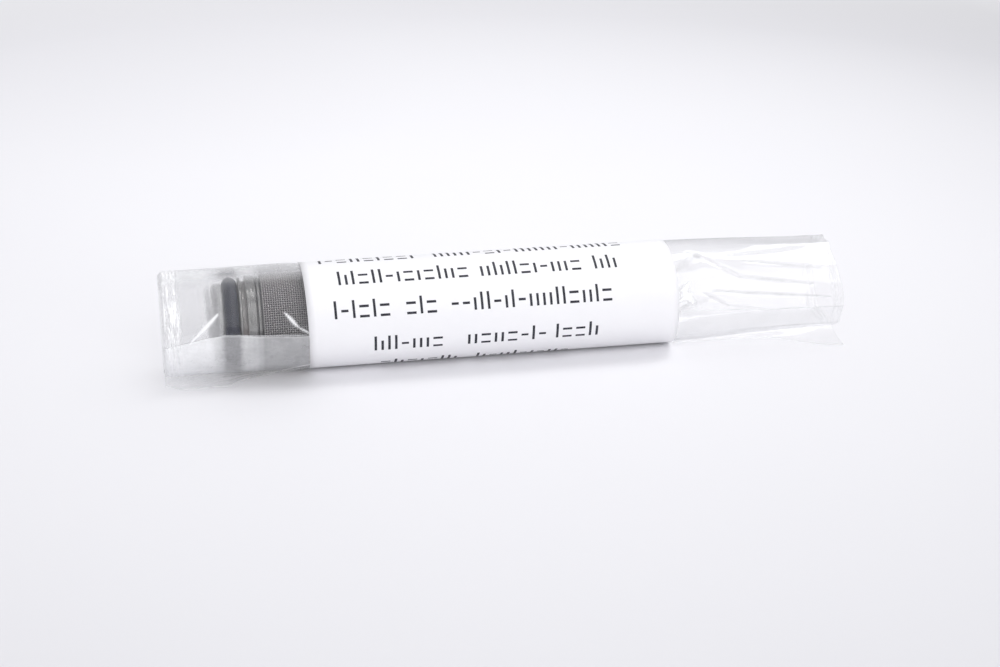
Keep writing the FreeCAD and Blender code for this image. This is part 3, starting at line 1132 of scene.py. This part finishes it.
@dataclass
class Crease:
    """A sharp fold in the film: a straight run between two places, in millimetres and degrees.

    Its tone is how white the fold looks as a painted highlight, or how grey as painted shade when it is below
    0.
    """

    x_start: float
    x_end: float
    degrees_start: float
    degrees_end: float
    height: float
    width: float
    tone: float

    def ridge(self, x: Array, theta: Array, radius: float) -> Array:
        """Return a bell curve of the distance to the fold's line on the unrolled film.

        Args:
            x: Places along X.
            theta: Angles, in radians.
            radius: The film's radius.

        Returns:
            1 on the line, falling to 0 over the fold's width.
        """
        start = np.array([self.x_start, np.radians(self.degrees_start) * radius])
        end = np.array([self.x_end, np.radians(self.degrees_end) * radius])
        run = end - start
        first = np.radians(self.degrees_start)
        across = (turn_from(theta, first) + first) * radius
        share = np.clip(((x - start[0]) * run[0] + (across - start[1]) * run[1]) / (run @ run), 0.0, 1.0)
        gap = np.hypot(x - start[0] - share * run[0], across - start[1] - share * run[1])
        taper = 0.35 + 0.65 * np.sin(np.pi * np.clip(share, 0.02, 0.98))
        return bell(gap, self.width * taper)


@dataclass
class FilmSleeve:
    """The rolled film pouch: an outer turn, an inner turn, and the free plies that come down to the table."""

    film: float = 0.06
    outlet_band: float = 3.2
    free_band: float = 2.0
    outlet_narrowing: float = 0.20
    free_narrowing: float = 0.60
    top_bulge: float = 0.22
    inner_turn_radius: float = 7.99
    inner_turn_lift: float = 0.30
    inner_turn_wave: float = 0.05
    rim_curl: float = 0.55
    wave_height: float = 0.10
    wave_sink: float = 0.05
    fine_height: float = 0.016
    ragged_depth: float = 0.10
    table_gap: float = 0.06
    label_gap: float = 0.08
    crimp_height: float = 0.05
    crimp_waves: int = 14
    clear_haze: float = 0.018
    clear_shade: float = 0.28
    # The top strip, grey folds and smear are hazed and greyed with painted shade; low_fade fades the painted
    # shade towards the bottom of the outlet ply.
    top_haze: float = 0.30
    fold_haze: float = 0.20
    smear_haze: float = 0.6
    smear_shade: float = 0.9
    low_fade: float = 0.6
    folds: Outline = (
        (-75.0, -78.0),
        (-38.0, -46.0),
        (8.0, -13.0),
        (20.0, -0.5),
        (50.0, 18.0),
        (62.0, 37.0),
        (81.0, 75.0),
        (112.0, 112.0),
        (150.0, 150.0),
        (190.0, 190.0),
        (235.0, 235.0),
    )
    end_path: Outline = (
        (-90.0, 59.3),
        (-12.0, 59.0),
        (11.0, 58.4),
        (59.0, 57.3),
        (94.0, 57.9),
        (115.0, 58.5),
        (180.0, 58.9),
        (270.0, 59.3),
    )
    rows_along: tuple[int, ...] = (44, 74, 12, 66, 24)
    columns_round: int = 220
    ply_rows: int = 170
    roll_steps: int = 36
    table_steps: int = 56
    skirt_lines: tuple[tuple[float, float, float], ...] = ((1.45, 0.70, 0.9), (1.75, 0.92, 0.7))
    outlet_edge: Outline = (
        (-59.0, -7.0),
        (-56.2, -4.2),
        (-52.4, 1.1),
        (-48.7, 4.5),
        (-46.4, 3.4),
        (-42.1, 0.5),
        (-34.8, -2.2),
    )
    free_edge: Outline = ((27.8, -3.0), (37.5, -6.0), (44.7, -11.6), (59.0, -14.5))
    outlet_reach: Outline = (
        (0.0, 5.6),
        (2.4, 7.6),
        (6.2, 8.0),
        (10.1, 8.1),
        (13.8, 5.3),
        (17.5, 3.4),
        (25.0, 2.4),
    )
    free_reach: Outline = ((0.0, 9.6), (2.6, 9.3), (7.1, 6.6), (11.4, 4.4), (16.0, 3.4), (31.0, 2.6))
    # The last number of each crease is its tone: painted highlight above 0, painted shade below.
    creases: tuple[Crease, ...] = (
        Crease(-54.3, -49.6, -2.0, 27.5, 0.10, 0.38, 1.0),
        Crease(-38.6, -36.6, 24.5, 8.5, 0.10, 0.26, 1.0),
        Crease(-36.6, -34.3, 8.5, -1.0, 0.08, 0.18, 0.7),
        Crease(29.0, 30.5, 14.0, 27.5, 0.16, 0.50, 1.0),
        Crease(29.1, 31.3, 20.0, 4.0, 0.16, 0.55, 1.0),
        Crease(28.5, 30.8, 7.5, 15.0, 0.12, 0.36, 1.0),
        Crease(28.6, 31.6, -1.0, 8.0, -0.22, 0.30, -0.5),
        Crease(31.3, 39.8, 67.7, 31.5, -0.20, 0.34, -0.7),
        Crease(39.8, 53.5, 31.5, 17.5, -0.25, 0.36, -0.9),
        Crease(38.5, 54.0, 60.5, 69.0, -0.20, 0.32, -0.6),
        Crease(41.0, 56.0, 50.5, 37.0, -0.20, 0.34, -0.7),
        Crease(34.4, 56.5, 17.2, -0.4, -0.27, 0.30, -1.0),
        Crease(33.3, 37.5, 14.7, -1.2, -0.20, 0.30, -0.9),
        Crease(37.5, 44.7, -1.2, -11.6, -0.17, 0.30, -0.6),
        Crease(28.6, 33.0, 44.0, 62.0, -0.12, 1.30, -0.7),
        Crease(28.6, 34.0, -4.0, 9.0, -0.10, 0.90, -0.5),
    )

    def __post_init__(self) -> None:
        """Read the sleeve's and the label's reach from the frame."""
        self.span = Span.of("clear_sleeve")
        self.label = Span.of("wrap_label")
        self.radius = self.span.radius - 0.02

    def free_share(self, x: Array) -> Array:
        """Return how far towards the free end a place is: 0 at the label and 1 at the band."""
        return np.clip((x - self.label.end) / (self.span.end - self.free_band - self.label.end), 0.0, 1.0)

    def flats(self, x: Array, theta: Array) -> Array:
        """Return how far the free end's film sinks between its long folds.

        Between two folds the film is straight, so its radius is that of a chord: the folds' radius times
        the cosine of half the angle between them, over the cosine of the angle from their middle.

        Args:
            x: Places along X.
            theta: Angles, in radians.

        Returns:
            The sinking, in millimetres.
        """
        share = self.free_share(x)
        turn = 2 * np.pi
        near, far = np.radians(np.array(self.folds + self.folds[:1])).T
        near[-1] += turn
        far[-1] += turn
        sink = np.zeros(np.broadcast(x, theta).shape)
        for index in range(len(self.folds)):
            first = near[index] + (far[index] - near[index]) * share
            last = near[index + 1] + (far[index + 1] - near[index + 1]) * share
            place = first + np.mod(theta - first, turn)
            inside = place <= last
            middle, half = (first + last) / 2, (last - first) / 2
            chord = 1 - np.cos(half) / np.maximum(np.cos(place - middle), 0.2)
            sink = np.where(inside, self.radius * chord, sink)
        return sink * smooth_step(share, 0.0, 0.75)

    def crimp(self, x: Array, theta: Array) -> tuple[Array, Array]:
        """Return the sealed bands' fine wrinkles and their painted glints: how white the bands are.

        The wrinkles are a sum of short waves along X whose phases drift round the film. The whiteness is a
        painted highlight, the crimp's glints; the outlet band is whitest where it faces the front and a little
        up.

        Args:
            x: Places along X.
            theta: Angles, in radians.

        Returns:
            Heights in millimetres, and whiteness from 0 to 1.
        """
        start = self.span.start
        band_end = start + self.outlet_band
        outlet = window(x, (band_end + 0.4, band_end - 0.6), (start + 0.1, start + 1.0))
        free = smooth_step(x, self.span.end - self.free_band - 0.4, self.span.end - self.free_band + 0.4)
        draw = np.random.default_rng(12)
        wave = np.zeros(np.broadcast(x, theta).shape)
        for _ in range(self.crimp_waves):
            phase = draw.uniform(4.5, 11.0) * x + draw.integers(-7, 8) * theta + draw.uniform(0, 2 * np.pi)
            wave += np.sin(phase) / np.sqrt(self.crimp_waves / 2)
        # Painted highlight: whitest where the band faces the front and a little up.
        facing = bell(turn_from(theta, np.radians(24)), 0.42)
        patches = np.clip(0.4 + 0.4 * ripple(x * 0.5, theta, 13, 7, 1.0, 5), 0.0, 1.0)
        white = outlet * (0.55 * patches + 1.0 * facing) + free * 0.3 * patches
        return self.crimp_height * wave * (outlet + 0.4 * free), np.clip(white, 0.0, 1.0)

    def skin(self, x: Array, theta: Array) -> Skin:
        """Return the outer turn's radius and tones.

        The radius is the roll's, less its narrowing towards each end and the free end's flats, plus slow
        waves, fine wrinkles and folds that start past the label.

        Args:
            x: Places along X.
            theta: Angles, in radians.

        Returns:
            Radii in millimetres, and tones from 0 to 1.
        """
        at_outlet = smooth_step(x, self.label.start - 4.0, self.span.start + self.outlet_band)
        at_free = smooth_step(x, self.label.end, self.span.end)
        slack = smooth_step(x, self.label.start, self.label.start - 9.0) * 0.5 + at_free
        narrowing = self.outlet_narrowing * at_outlet + self.free_narrowing * at_free
        rim = self.rim_curl * smooth_step(x, self.span.start + 1.0, self.span.start) ** 2
        over = bell(turn_from(theta, np.radians(105)), 0.8)
        bulge = self.top_bulge * over * smooth_step(x, self.label.start + 0.3, self.label.start - 3.0)
        waves = slack * (self.wave_height * ripple(x * 0.10, theta, 5, 9, 2.2, 3) - self.wave_sink)
        fine = slack * self.fine_height * ripple(x * 0.8, theta, 6, 14, 3.0, 14)
        crimp, band = self.crimp(x, theta)
        radius = self.radius - narrowing - rim + bulge + waves + fine + crimp - self.flats(x, theta)
        white, grey = np.zeros(radius.shape), np.zeros(radius.shape)
        # Creases raise the film and add painted highlight (white) or painted shade (grey) along their lines.
        for crease in self.creases:
            ridge = crease.ridge(x, theta, self.radius)
            radius = radius + crease.height * ridge
            white = white + max(crease.tone, 0.0) * ridge
            grey = grey + max(-crease.tone, 0.0) * ridge
        return Skin(radius, np.clip(white, 0.0, 1.0), np.clip(grey, 0.0, 1.0), band)

    def seat(self, points: Array) -> Array:
        """Flatten what would lie under the table, or under the paper where the label is.

        Args:
            points: Points in millimetres.

        Returns:
            The points, with the lowest ones raised.
        """
        start, end = self.label.start, self.label.end
        under_label = window(points[..., 0], (start - 1.5, start), (end + 1.5, end))
        points[..., 2] = np.maximum(points[..., 2], self.table_gap + self.label_gap * under_label)
        return points

    def along(self) -> Array:
        """Return the outer turn's places along X: close in the bands and ends, wide under the label."""
        start, end = self.span.start, self.span.end
        band_end, band_start = start + self.outlet_band + 0.4, end - self.free_band - 0.4
        places = (start, band_end, self.label.start + 0.5, self.label.end - 0.5, band_start, end)
        return np.concatenate([
            np.linspace(near, far, rows, endpoint=far == end)
            for near, far, rows in zip(places, places[1:], self.rows_along)
        ])

    def outer_turn(self) -> Surface:
        """Return the outer turn: the radius field carried round the axis, with a slanted free edge.

        Past the label, X is stretched so that the last row of points ends on the cut edge.
        """
        x = self.along()[:, None]
        theta = np.linspace(0, 2 * np.pi, self.columns_round, endpoint=False)[None, :]
        radius, white, grey, band = self.skin(x, theta)
        path = np.array(self.end_path)
        end = np.interp(np.mod(np.degrees(theta) + 90.0, 360.0) - 90.0, path[:, 0], path[:, 1])
        slant = (end - self.span.end) * smooth_step(x, self.label.end + 8, self.span.end)
        ragged = self.ragged_depth * ripple(0.0 * x, theta, 21, 9, 0.0, 11)
        ragged = ragged * smooth_step(x, self.span.end - 1.5, self.span.end)
        points = self.seat(on_axis(x + slant + ragged, radius, theta))
        degrees = np.degrees(theta)
        # Top strip: haze, and over the cartridge painted shade of its blurred top, lighter towards the top.
        top = window(degrees, (58, 82), (160, 120)) * smooth_step(x, self.label.end, self.label.start) ** 0.2
        smear = self.smear(x, degrees)
        band_end = self.span.start + self.outlet_band
        haze = self.clear_haze + 0.05 * smooth_step(x, band_end + 2, self.span.start)
        haze = haze + self.top_haze * top + self.fold_haze * grey + self.smear_haze * smear
        # shade: the milk's even grey, then painted shade over the cartridge, along grey folds and in the smear.
        shade = self.clear_shade * (1 - top) + top * self.behind(x) * smooth_step(degrees, 106, 76)
        shade = np.maximum(np.maximum(shade, 0.9 * grey), self.smear_shade * smear)
        values = {"haze": haze + 0.0 * radius, "crease": white, "band": band, "shade": shade}
        return thin_shell(points, self.film, True, outward_flip(points, True), values)

    def smear(self, x: Array, degrees: Array) -> Array:
        """Return how cloudy the crumpled film is before the cap's tip: streaks that run round the roll, which
        the outer turn also greys with painted shade of the blurred tip.

        Args:
            x: Places along X.
            degrees: Angles.

        Returns:
            Cloudiness from 0 to a little over 1.
        """
        front = np.mod(degrees + 90.0, 360.0) - 90.0
        patch = window(x, (-52.8, -50.6), (-48.3, -49.3)) * window(front, (-16.0, 0.0), (72.0, 52.0))
        return patch * np.clip(0.8 + 0.35 * ripple(x * 1.6, np.radians(degrees), 61, 8, 3.0, 2), 0.2, 1.0)

    def inner_turn(self) -> Surface:
        """Return the inner turn: round the cartridge from its front edge, under, behind and over it.

        From the top it widens to meet the outer turn at the front: its radius grows as a smooth step of
        the angle.
        """
        x = np.concatenate([
            np.linspace(self.span.start + self.outlet_band - 0.4, self.label.start + 1.0, 70, endpoint=False),
            np.linspace(self.label.start + 1.0, self.label.end - 1.0, 14),
        ])[:, None]
        share = np.linspace(0.0, 1.0, 230)[None, :]
        theta = np.radians(self.edge_degrees(x) - 1.0 - 350.0 * share)
        outer = self.skin(x, theta).radius
        limit = outer - 2.5 * self.film
        close = self.inner_turn_radius + self.inner_turn_wave * ripple(x * 0.15, theta, 31, 8, 2.0, 4)
        radius = close + (limit - close) * smooth_step(share, 0.70, 1.0)
        radius = np.minimum(radius, limit)
        points = self.seat(on_axis(x + 0.0 * theta, radius, theta))
        points[..., 2] = np.maximum(points[..., 2], self.inner_turn_lift)
        values = {
            "haze": np.full_like(radius, self.clear_haze),
            # Painted highlight along the turn's front edge.
            "crease": 0.4 * bell(share, 0.006) + 0.0 * radius,
            "band": np.zeros_like(radius),
            "shade": np.full_like(radius, self.clear_shade),
        }
        return thin_shell(points, self.film, False, outward_flip(points), values)

    def edge_degrees(self, x: Array) -> Array:
        """Return the angle of the overlapping ply's upper edge."""
        path = np.array(self.outlet_edge + self.free_edge)
        return np.interp(x, path[:, 0], path[:, 1])

    def behind(self, x: Array) -> Array:
        """Return how grey the frosted plies look over the cartridge, as painted shade: the blurred image of its
        tip, seal, collar and mesh painted in.
        """
        tip = smooth_step(x, -51.2, -49.4) * 0.30
        seal = window(x, (-49.6, -48.3), (-45.5, -46.5)) * 0.55
        collar = window(x, (-45.6, -45.0), (-43.2, -43.8)) * 0.10
        mesh = smooth_step(x, -43.3, -42.0) * 0.34
        lines = 0.05 * np.sin(2 * np.pi * x / 0.9) * window(x, (-47.0, -45.0), (-41.0, -42.5))
        return np.clip(tip + seal - collar + mesh + lines, 0.0, 1.0)

    def over_table(self, x: Array, reach: Array, leave_at: Array, first: Array) -> Array:
        """Return a ply's stretch from the roll to its edge on the table.

        It is a cubic curve that starts along the roll and ends flat on the table, plus slow waves that
        grow towards the edge.

        Args:
            x: Places along X, one a row.
            reach: How far in front of the axis the edge lies, one a row.
            leave_at: Angle at which the ply leaves the roll, in radians, one a row.
            first: Points at which it leaves.

        Returns:
            Rows of points, without the first one of each.
        """
        tangent = np.concatenate([0 * leave_at, np.sin(leave_at), -np.cos(leave_at)], axis=1)
        last = np.concatenate([x, -reach, 0.0 * x + self.film + 0.05], axis=1)
        second = first + tangent * np.clip(first[:, 2:3] * 0.8, 0.2, 1.6)
        third = last + np.concatenate([0 * x, np.maximum((reach + first[:, 1:2]) * 0.6, 0.3), 0 * x], axis=1)
        t = np.linspace(0.0, 1.0, self.table_steps)[None, 1:]
        s = t[..., None]
        curve = (
            (1 - s) ** 3 * first[:, None]
            + 3 * (1 - s) ** 2 * s * second[:, None]
            + 3 * (1 - s) * s**2 * third[:, None]
            + s**3 * last[:, None]
        )
        lift = 0.16 * np.clip(ripple(x * 0.35, 0.0 * x, 47, 7, 2.0, 0), -0.3, 1.5) + 0.05
        curve[..., 2] += lift * smooth_step(t, 0.35, 1.0) * smooth_step(reach, 1.0, 6.0)
        return curve

    def ply_values(self, way: Way, x: Array, run: Array, skin: Skin) -> dict[str, Array]:
        """Return a free ply's tones: frosted on the roll with painted shade of the cartridge behind, clear on
        the table, with white edges and lines as painted highlights.

        Args:
            way: Which end of the sleeve.
            x: Places along X, one a row.
            run: Places across the ply: 0 at its edge on the roll, 1 where it leaves, 2 on the table.
            skin: The outer turn's tones under the part on the roll.

        Returns:
            The named values.
        """
        outlet = way is Way.OUTLET
        frosted = smooth_step(run, 1.10, 0.70)
        haze = 0.025 + (0.42 if outlet else 0.08) * frosted
        # Painted shade of the cartridge behind the frosted part, fading towards the bottom over the seal and
        # tip.
        grey = (self.behind(x) if outlet else 0.05 + 0.0 * x) * frosted
        grey = grey * (1.0 - self.low_fade * smooth_step(run, 0.45, 0.95) * smooth_step(x, -43.5, -45.5))
        # Painted highlights along the ply's edges and, at the outlet, the lines under the roll.
        edge = 0.16 * bell(run, 0.012) + 0.4 * bell(2.0 - run, 0.03)
        if outlet:
            # Extra light haze at the outlet end: milky film, and painted light that lifts the shade under the
            # roll's end.
            haze = haze + 0.14 * smooth_step(x, -46.5, -52.5)
            for near, far, strength in self.skirt_lines:
                line = near + (far - near) * smooth_step(x, -49.5, self.label.start + 0.8)
                edge = edge + strength * bell(run - line, 0.016) * smooth_step(x, -50.5, -47.5)
        none = np.zeros((len(x), self.table_steps - 1))
        return {
            "haze": haze,
            "crease": np.clip(edge + 0.5 * np.concatenate([skin.white, none], axis=1), 0.0, 1.0),
            "band": np.concatenate([skin.band * 0.6, none], axis=1),
            "shade": grey,
        }

    def skirt(self, way: Way, outline: Outline, leave: tuple[float, float]) -> Surface:
        """Return a free ply: on the roll from the front edge down, then out over the table.

        Args:
            way: Which end of the sleeve.
            outline: The ply's edge on the table: (distance from the sleeve's end, reach to the front).
            leave: Degrees at which the ply leaves the roll, at the sleeve's end and at the label.

        Returns:
            The closed sheet.
        """
        end = self.span.start + 0.15 if way is Way.OUTLET else self.span.end - 0.1
        label = self.label.start + 0.8 if way is Way.OUTLET else self.label.end - 0.8
        x = np.linspace(end, label, self.ply_rows)[:, None]
        along = np.abs(x - end)
        table = np.array(outline)
        reach = np.interp(along, table[:, 0], table[:, 1])
        reach = reach + 0.12 * ripple(x * 0.5, 0.0 * x, 41 + way.value, 6, 2.0, 0)
        leave_at = np.radians(np.interp(along, [0.0, abs(label - end)], leave))
        start = np.radians(self.edge_degrees(x)) + 0.006 * ripple(x * 0.6, 0.0 * x, 43, 5, 2.0, 0)
        share = np.linspace(0.0, 1.0, self.roll_steps)[None, :]
        theta = start + (leave_at - start) * share
        skin = self.skin(x, theta)
        on_roll = on_axis(x + 0.0 * theta, skin.radius + self.film * 1.6, theta)
        curve = self.over_table(x, reach, leave_at, on_roll[:, -1])
        points = self.seat(np.concatenate([on_roll, curve], axis=1))
        t = np.linspace(0.0, 1.0, self.table_steps)[None, 1:]
        run = np.concatenate([share + 0.0 * x, 1.0 + t + 0.0 * x], axis=1)
        flip = bool(grid_normals(points, False)[75, 5, 1] > 0)
        return thin_shell(points, self.film, False, flip, self.ply_values(way, x, run, skin))

    def build(self) -> None:
        """Make the film's pieces."""
        film = ClearFilm().material()
        makers: dict[str, Callable[[], Surface]] = {
            "film_outer_turn": self.outer_turn,
            "film_inner_turn": self.inner_turn,
            "film_skirt_outlet": lambda: self.skirt(Way.OUTLET, self.outlet_reach, (-80.0, -66.0)),
            "film_skirt_free": lambda: self.skirt(Way.FREE, self.free_reach, (-68.0, -74.0)),
        }
        for name, make in makers.items():
            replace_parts(make().build(name, film, "clear_film"), "clear_sleeve")


# Label


@dataclass
class WrapLabel:
    """The paper label and its rows of plain marks."""

    wrap_length: float = 38.1
    thickness: float = 0.11
    middle_degrees: float = 21.5
    corner: float = 2.0
    skew: float = 1.0
    mark_lift: float = 0.012
    mark_thickness: float = 0.012
    mark_line: float = 0.42
    pair_length: float = 1.6
    dash_length: float = 1.2
    lower_share: float = 0.7
    row_degrees: tuple[float, ...] = (67.7, 29.7, -7.2, -48.4, -88.0)
    row_height: float = 3.0
    row_runs: tuple[Outline, ...] = (
        ((0.05, 0.30), (0.36, 0.86)),
        ((0.09, 0.42), (0.47, 0.74), (0.78, 0.84)),
        ((0.07, 0.21), (0.26, 0.33), (0.38, 0.82)),
        ((0.17, 0.36), (0.42, 0.62), (0.66, 0.78)),
        ((0.19, 0.40), (0.45, 0.71)),
    )

    def __post_init__(self) -> None:
        """Read the label's reach from the frame."""
        self.span = Span.of("wrap_label")
        self.radius = Span.of("clear_sleeve").radius + 0.01 + self.thickness
        self.half = self.wrap_length / 2 / self.radius

    def point(self, x: Array, arc: Array, lift: float) -> Array:
        """Return places on the label's outer face, or a little above it.

        The label is a part of a cylinder, skewed along X in step with the angle and flat on the table.

        Args:
            x: Places along X before the skew.
            arc: Distance round the roll from the label's middle line, in millimetres, up is more.
            lift: Height above the paper.

        Returns:
            The points.
        """
        middle = np.radians(self.middle_degrees)
        theta = middle + arc / self.radius
        drift = -self.skew * (arc / self.wrap_length)
        points = on_axis(x + drift, self.radius + lift, theta)
        points[..., 2] = np.maximum(points[..., 2], self.thickness + lift)
        return points

    def paper(self) -> Surface:
        """Return the paper: a sheet with rounded corners, each row of points as long as its place allows."""
        arc = np.linspace(-self.wrap_length / 2, self.wrap_length / 2, 120)[:, None]
        share = np.linspace(-1.0, 1.0, 50)[None, :]
        to_edge = np.clip(self.wrap_length / 2 - np.abs(arc), 0.0, self.corner)
        inset = self.corner - np.sqrt(np.maximum(self.corner**2 - (self.corner - to_edge) ** 2, 0.0))
        half = (self.span.end - self.span.start) / 2 - inset
        centre = (self.span.end + self.span.start) / 2
        points = self.point(centre + half * share, arc + 0.0 * share, 0.0)
        return thin_shell(points, self.thickness, False, outward_flip(points), {})

    def mark(self, x: float, arc: float, width: float, height: float) -> Surface:
        """Return one mark: a small raised patch on the paper.

        Args:
            x: Its lower corner along X.
            arc: Its lower edge round the roll.
            width: Its size along X.
            height: Its size round the roll.

        Returns:
            The closed patch.
        """
        rows = max(3, int(height / 0.35) + 1)
        across = np.linspace(arc, arc + height, rows)[:, None]
        along = np.linspace(x, x + width, 3)[None, :]
        points = self.point(along + 0.0 * across, across + 0.0 * along, self.mark_lift)
        return thin_shell(points, self.mark_thickness, False, outward_flip(points), {})

    def marks(self) -> list[Surface]:
        """Return every mark: rows of plain strokes at a printed line's pitch, drawn from a seeded list."""
        draw = np.random.default_rng(7)
        pitch = {Stroke.BAR: 1.15, Stroke.SHORT_BAR: 1.15, Stroke.PAIR: 2.3, Stroke.DASH: 1.9}
        length = self.span.end - self.span.start
        found = []
        for degrees, runs in zip(self.row_degrees, self.row_runs):
            base = np.radians(degrees) * self.radius
            for start, end in runs:
                x, stop = self.span.start + start * length, self.span.start + end * length
                while x < stop:
                    kind = draw.choice(list(Stroke), p=[0.34, 0.32, 0.22, 0.12])
                    found += self.stroke(kind, x, base)
                    x += pitch[kind]
        return found

    def stroke(self, kind: Stroke, x: float, base: float) -> list[Surface]:
        """Return the patches of one mark.

        Args:
            kind: Which mark.
            x: Its left edge.
            base: The row's base line, round the roll from the label's middle.

        Returns:
            One or two patches.
        """
        line, tall = self.mark_line, self.row_height
        low = tall * self.lower_share
        if kind is Stroke.BAR:
            return [self.mark(x, base, line, tall)]
        if kind is Stroke.SHORT_BAR:
            return [self.mark(x, base, line, low)]
        if kind is Stroke.PAIR:
            return [self.mark(x, base + up, self.pair_length, line) for up in (0.0, low - line)]
        return [self.mark(x, base + low / 2, self.dash_length, line)]

    def build(self) -> None:
        """Make the paper and its print."""
        paper = self.paper().build("label_paper", LabelPaper().material(), "label_paper")
        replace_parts(paper, "wrap_label")
        ink = PrintInk().material()
        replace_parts(join_surfaces(self.marks()).build("label_print", ink, "label_paper", False), "wrap_label")


# Studio


@dataclass(frozen=True)
class SoftBox:
    """A rectangular lamp that points at the object's middle, in millimetres and watts.

    It is out of the camera's sight, and glossy surfaces show it only when it is mirrored.
    """

    name: str
    place: tuple[float, float, float]
    size: tuple[float, float]
    watts: float
    mirrored: bool = True

    def hang(self) -> None:
        """Make the lamp."""
        light = bpy.data.lights.new(self.name, "AREA")
        light.shape = "RECTANGLE"
        light.size, light.size_y = self.size[0] * MM, self.size[1] * MM
        light.energy = self.watts
        lamp = bpy.data.objects.new(self.name, light)
        bpy.context.scene.collection.objects.link(lamp)
        place = Vector(self.place)
        lamp.location = place * MM
        lamp.rotation_euler = (place - Vector((0.0, 0.0, AXIS))).to_track_quat("Z", "Y").to_euler()
        lamp.visible_camera, lamp.visible_glossy = False, self.mirrored


@dataclass
class Studio:
    """Table, light and camera."""

    yaw_degrees: float = 10.96
    elevation_degrees: float = 21.5
    distance: float = 313.28
    aside: float = -2.184
    raised: float = 5.316
    focal_px: float = 1811.0
    frame_width: float = 1000.0
    sensor: float = 36.0
    table_size: float = 6000.0
    room_light: Colour = (0.50, 0.50, 0.52, 1.0)
    room_back: Colour = (0.76, 0.76, 0.78, 1.0)
    room_dark: Colour = (0.45, 0.45, 0.46, 1.0)
    dark_direction: tuple[float, float, float] = (-0.15, -0.95, 0.25)
    dark_edge: float = 0.70
    lamps: tuple[SoftBox, ...] = (
        SoftBox("key_soft_box", (230.0, -410.0, 280.0), (220.0, 600.0), 0.95),
        SoftBox("top_soft_box", (215.0, 80.0, 450.0), (160.0, 320.0), 0.9),
        SoftBox("front_fill", (-90.0, -420.0, 330.0), (500.0, 350.0), 0.85, mirrored=False),
    )

    def table(self) -> None:
        """Lay the white table."""
        half = self.table_size / 2 * MM
        mesh = bpy.data.meshes.new("table")
        corners = [(-half, -half, 0), (half, -half, 0), (half, half, 0), (-half, half, 0)]
        mesh.from_pydata(corners, [], [(0, 1, 2, 3)])
        mesh.materials.append(TableTop().material())
        table = bpy.data.objects.new("table", mesh)
        bpy.context.scene.collection.objects.link(table)

    def world(self) -> None:
        """Fill the room with white, darker round the camera's side, as behind a photographer."""
        bpy.context.scene.world = bpy.data.worlds.new("room")
        g = Graph(bpy.context.scene.world)
        way = g.node("ShaderNodeTexCoord", output="Generated")
        dark = tuple(Vector(self.dark_direction).normalized())
        share = ((g.dot(way, dark) - self.dark_edge) / (1.0 - self.dark_edge)).clamped()
        y = g.dot(way, (0.0, 1.0, 0.0))
        sides = g.blend(((y + 0.1) * 1.3).clamped(), self.room_light, self.room_back)
        fill = g.blend(share**0.7, sides, self.room_dark)
        seen = g.node("ShaderNodeLightPath", output="Is Camera Ray")
        back = g.node("ShaderNodeBackground", None, {"Color": g.blend(seen, fill, BACKDROP)})
        g.raw("ShaderNodeOutputWorld", None, {"Surface": back})

    def camera(self) -> None:
        """Stand the camera where the photograph was taken from."""
        yaw, tilt = np.radians(self.yaw_degrees), np.radians(self.elevation_degrees)
        forward = Vector((np.sin(yaw) * np.cos(tilt), np.cos(yaw) * np.cos(tilt), -np.sin(tilt)))
        right = forward.cross(Vector((0, 0, 1))).normalized()
        up = right.cross(forward)
        label = Span.of("wrap_label")
        target = Vector(((label.start + label.end) / 2, 0.0, AXIS))
        place = target - (right * self.aside + up * self.raised + forward * self.distance)
        data = bpy.data.cameras.new("view")
        data.sensor_width = self.sensor
        data.lens = self.sensor * self.focal_px / self.frame_width
        data.clip_start, data.clip_end = 0.01, 20.0
        camera = bpy.data.objects.new("view", data)
        bpy.context.scene.collection.objects.link(camera)
        turn = Matrix((right, up, -forward)).transposed().to_4x4()
        camera.matrix_world = Matrix.Translation(place * MM) @ turn
        bpy.context.scene.camera = camera

    def build(self) -> None:
        """Set up the whole studio."""
        self.table()
        self.world()
        for lamp in self.lamps:
            lamp.hang()
        self.camera()
        scene = bpy.context.scene
        scene.view_settings.view_transform = "Standard"
        scene.cycles.transparent_max_bounces = 48


def main() -> None:
    """Build every piece, then the studio; each new piece's size is logged as it is built."""
    logging.basicConfig(level=logging.INFO, format="%(name)s: %(message)s")
    for assembly in (Caps(), SealRing(), GuardWeave(), FilmSleeve(), WrapLabel()):
        assembly.build()
        log.info("%s is built", type(assembly).__name__)
    dress_inner_nodes()
    Studio().build()


if __name__ == "__main__":
    main()
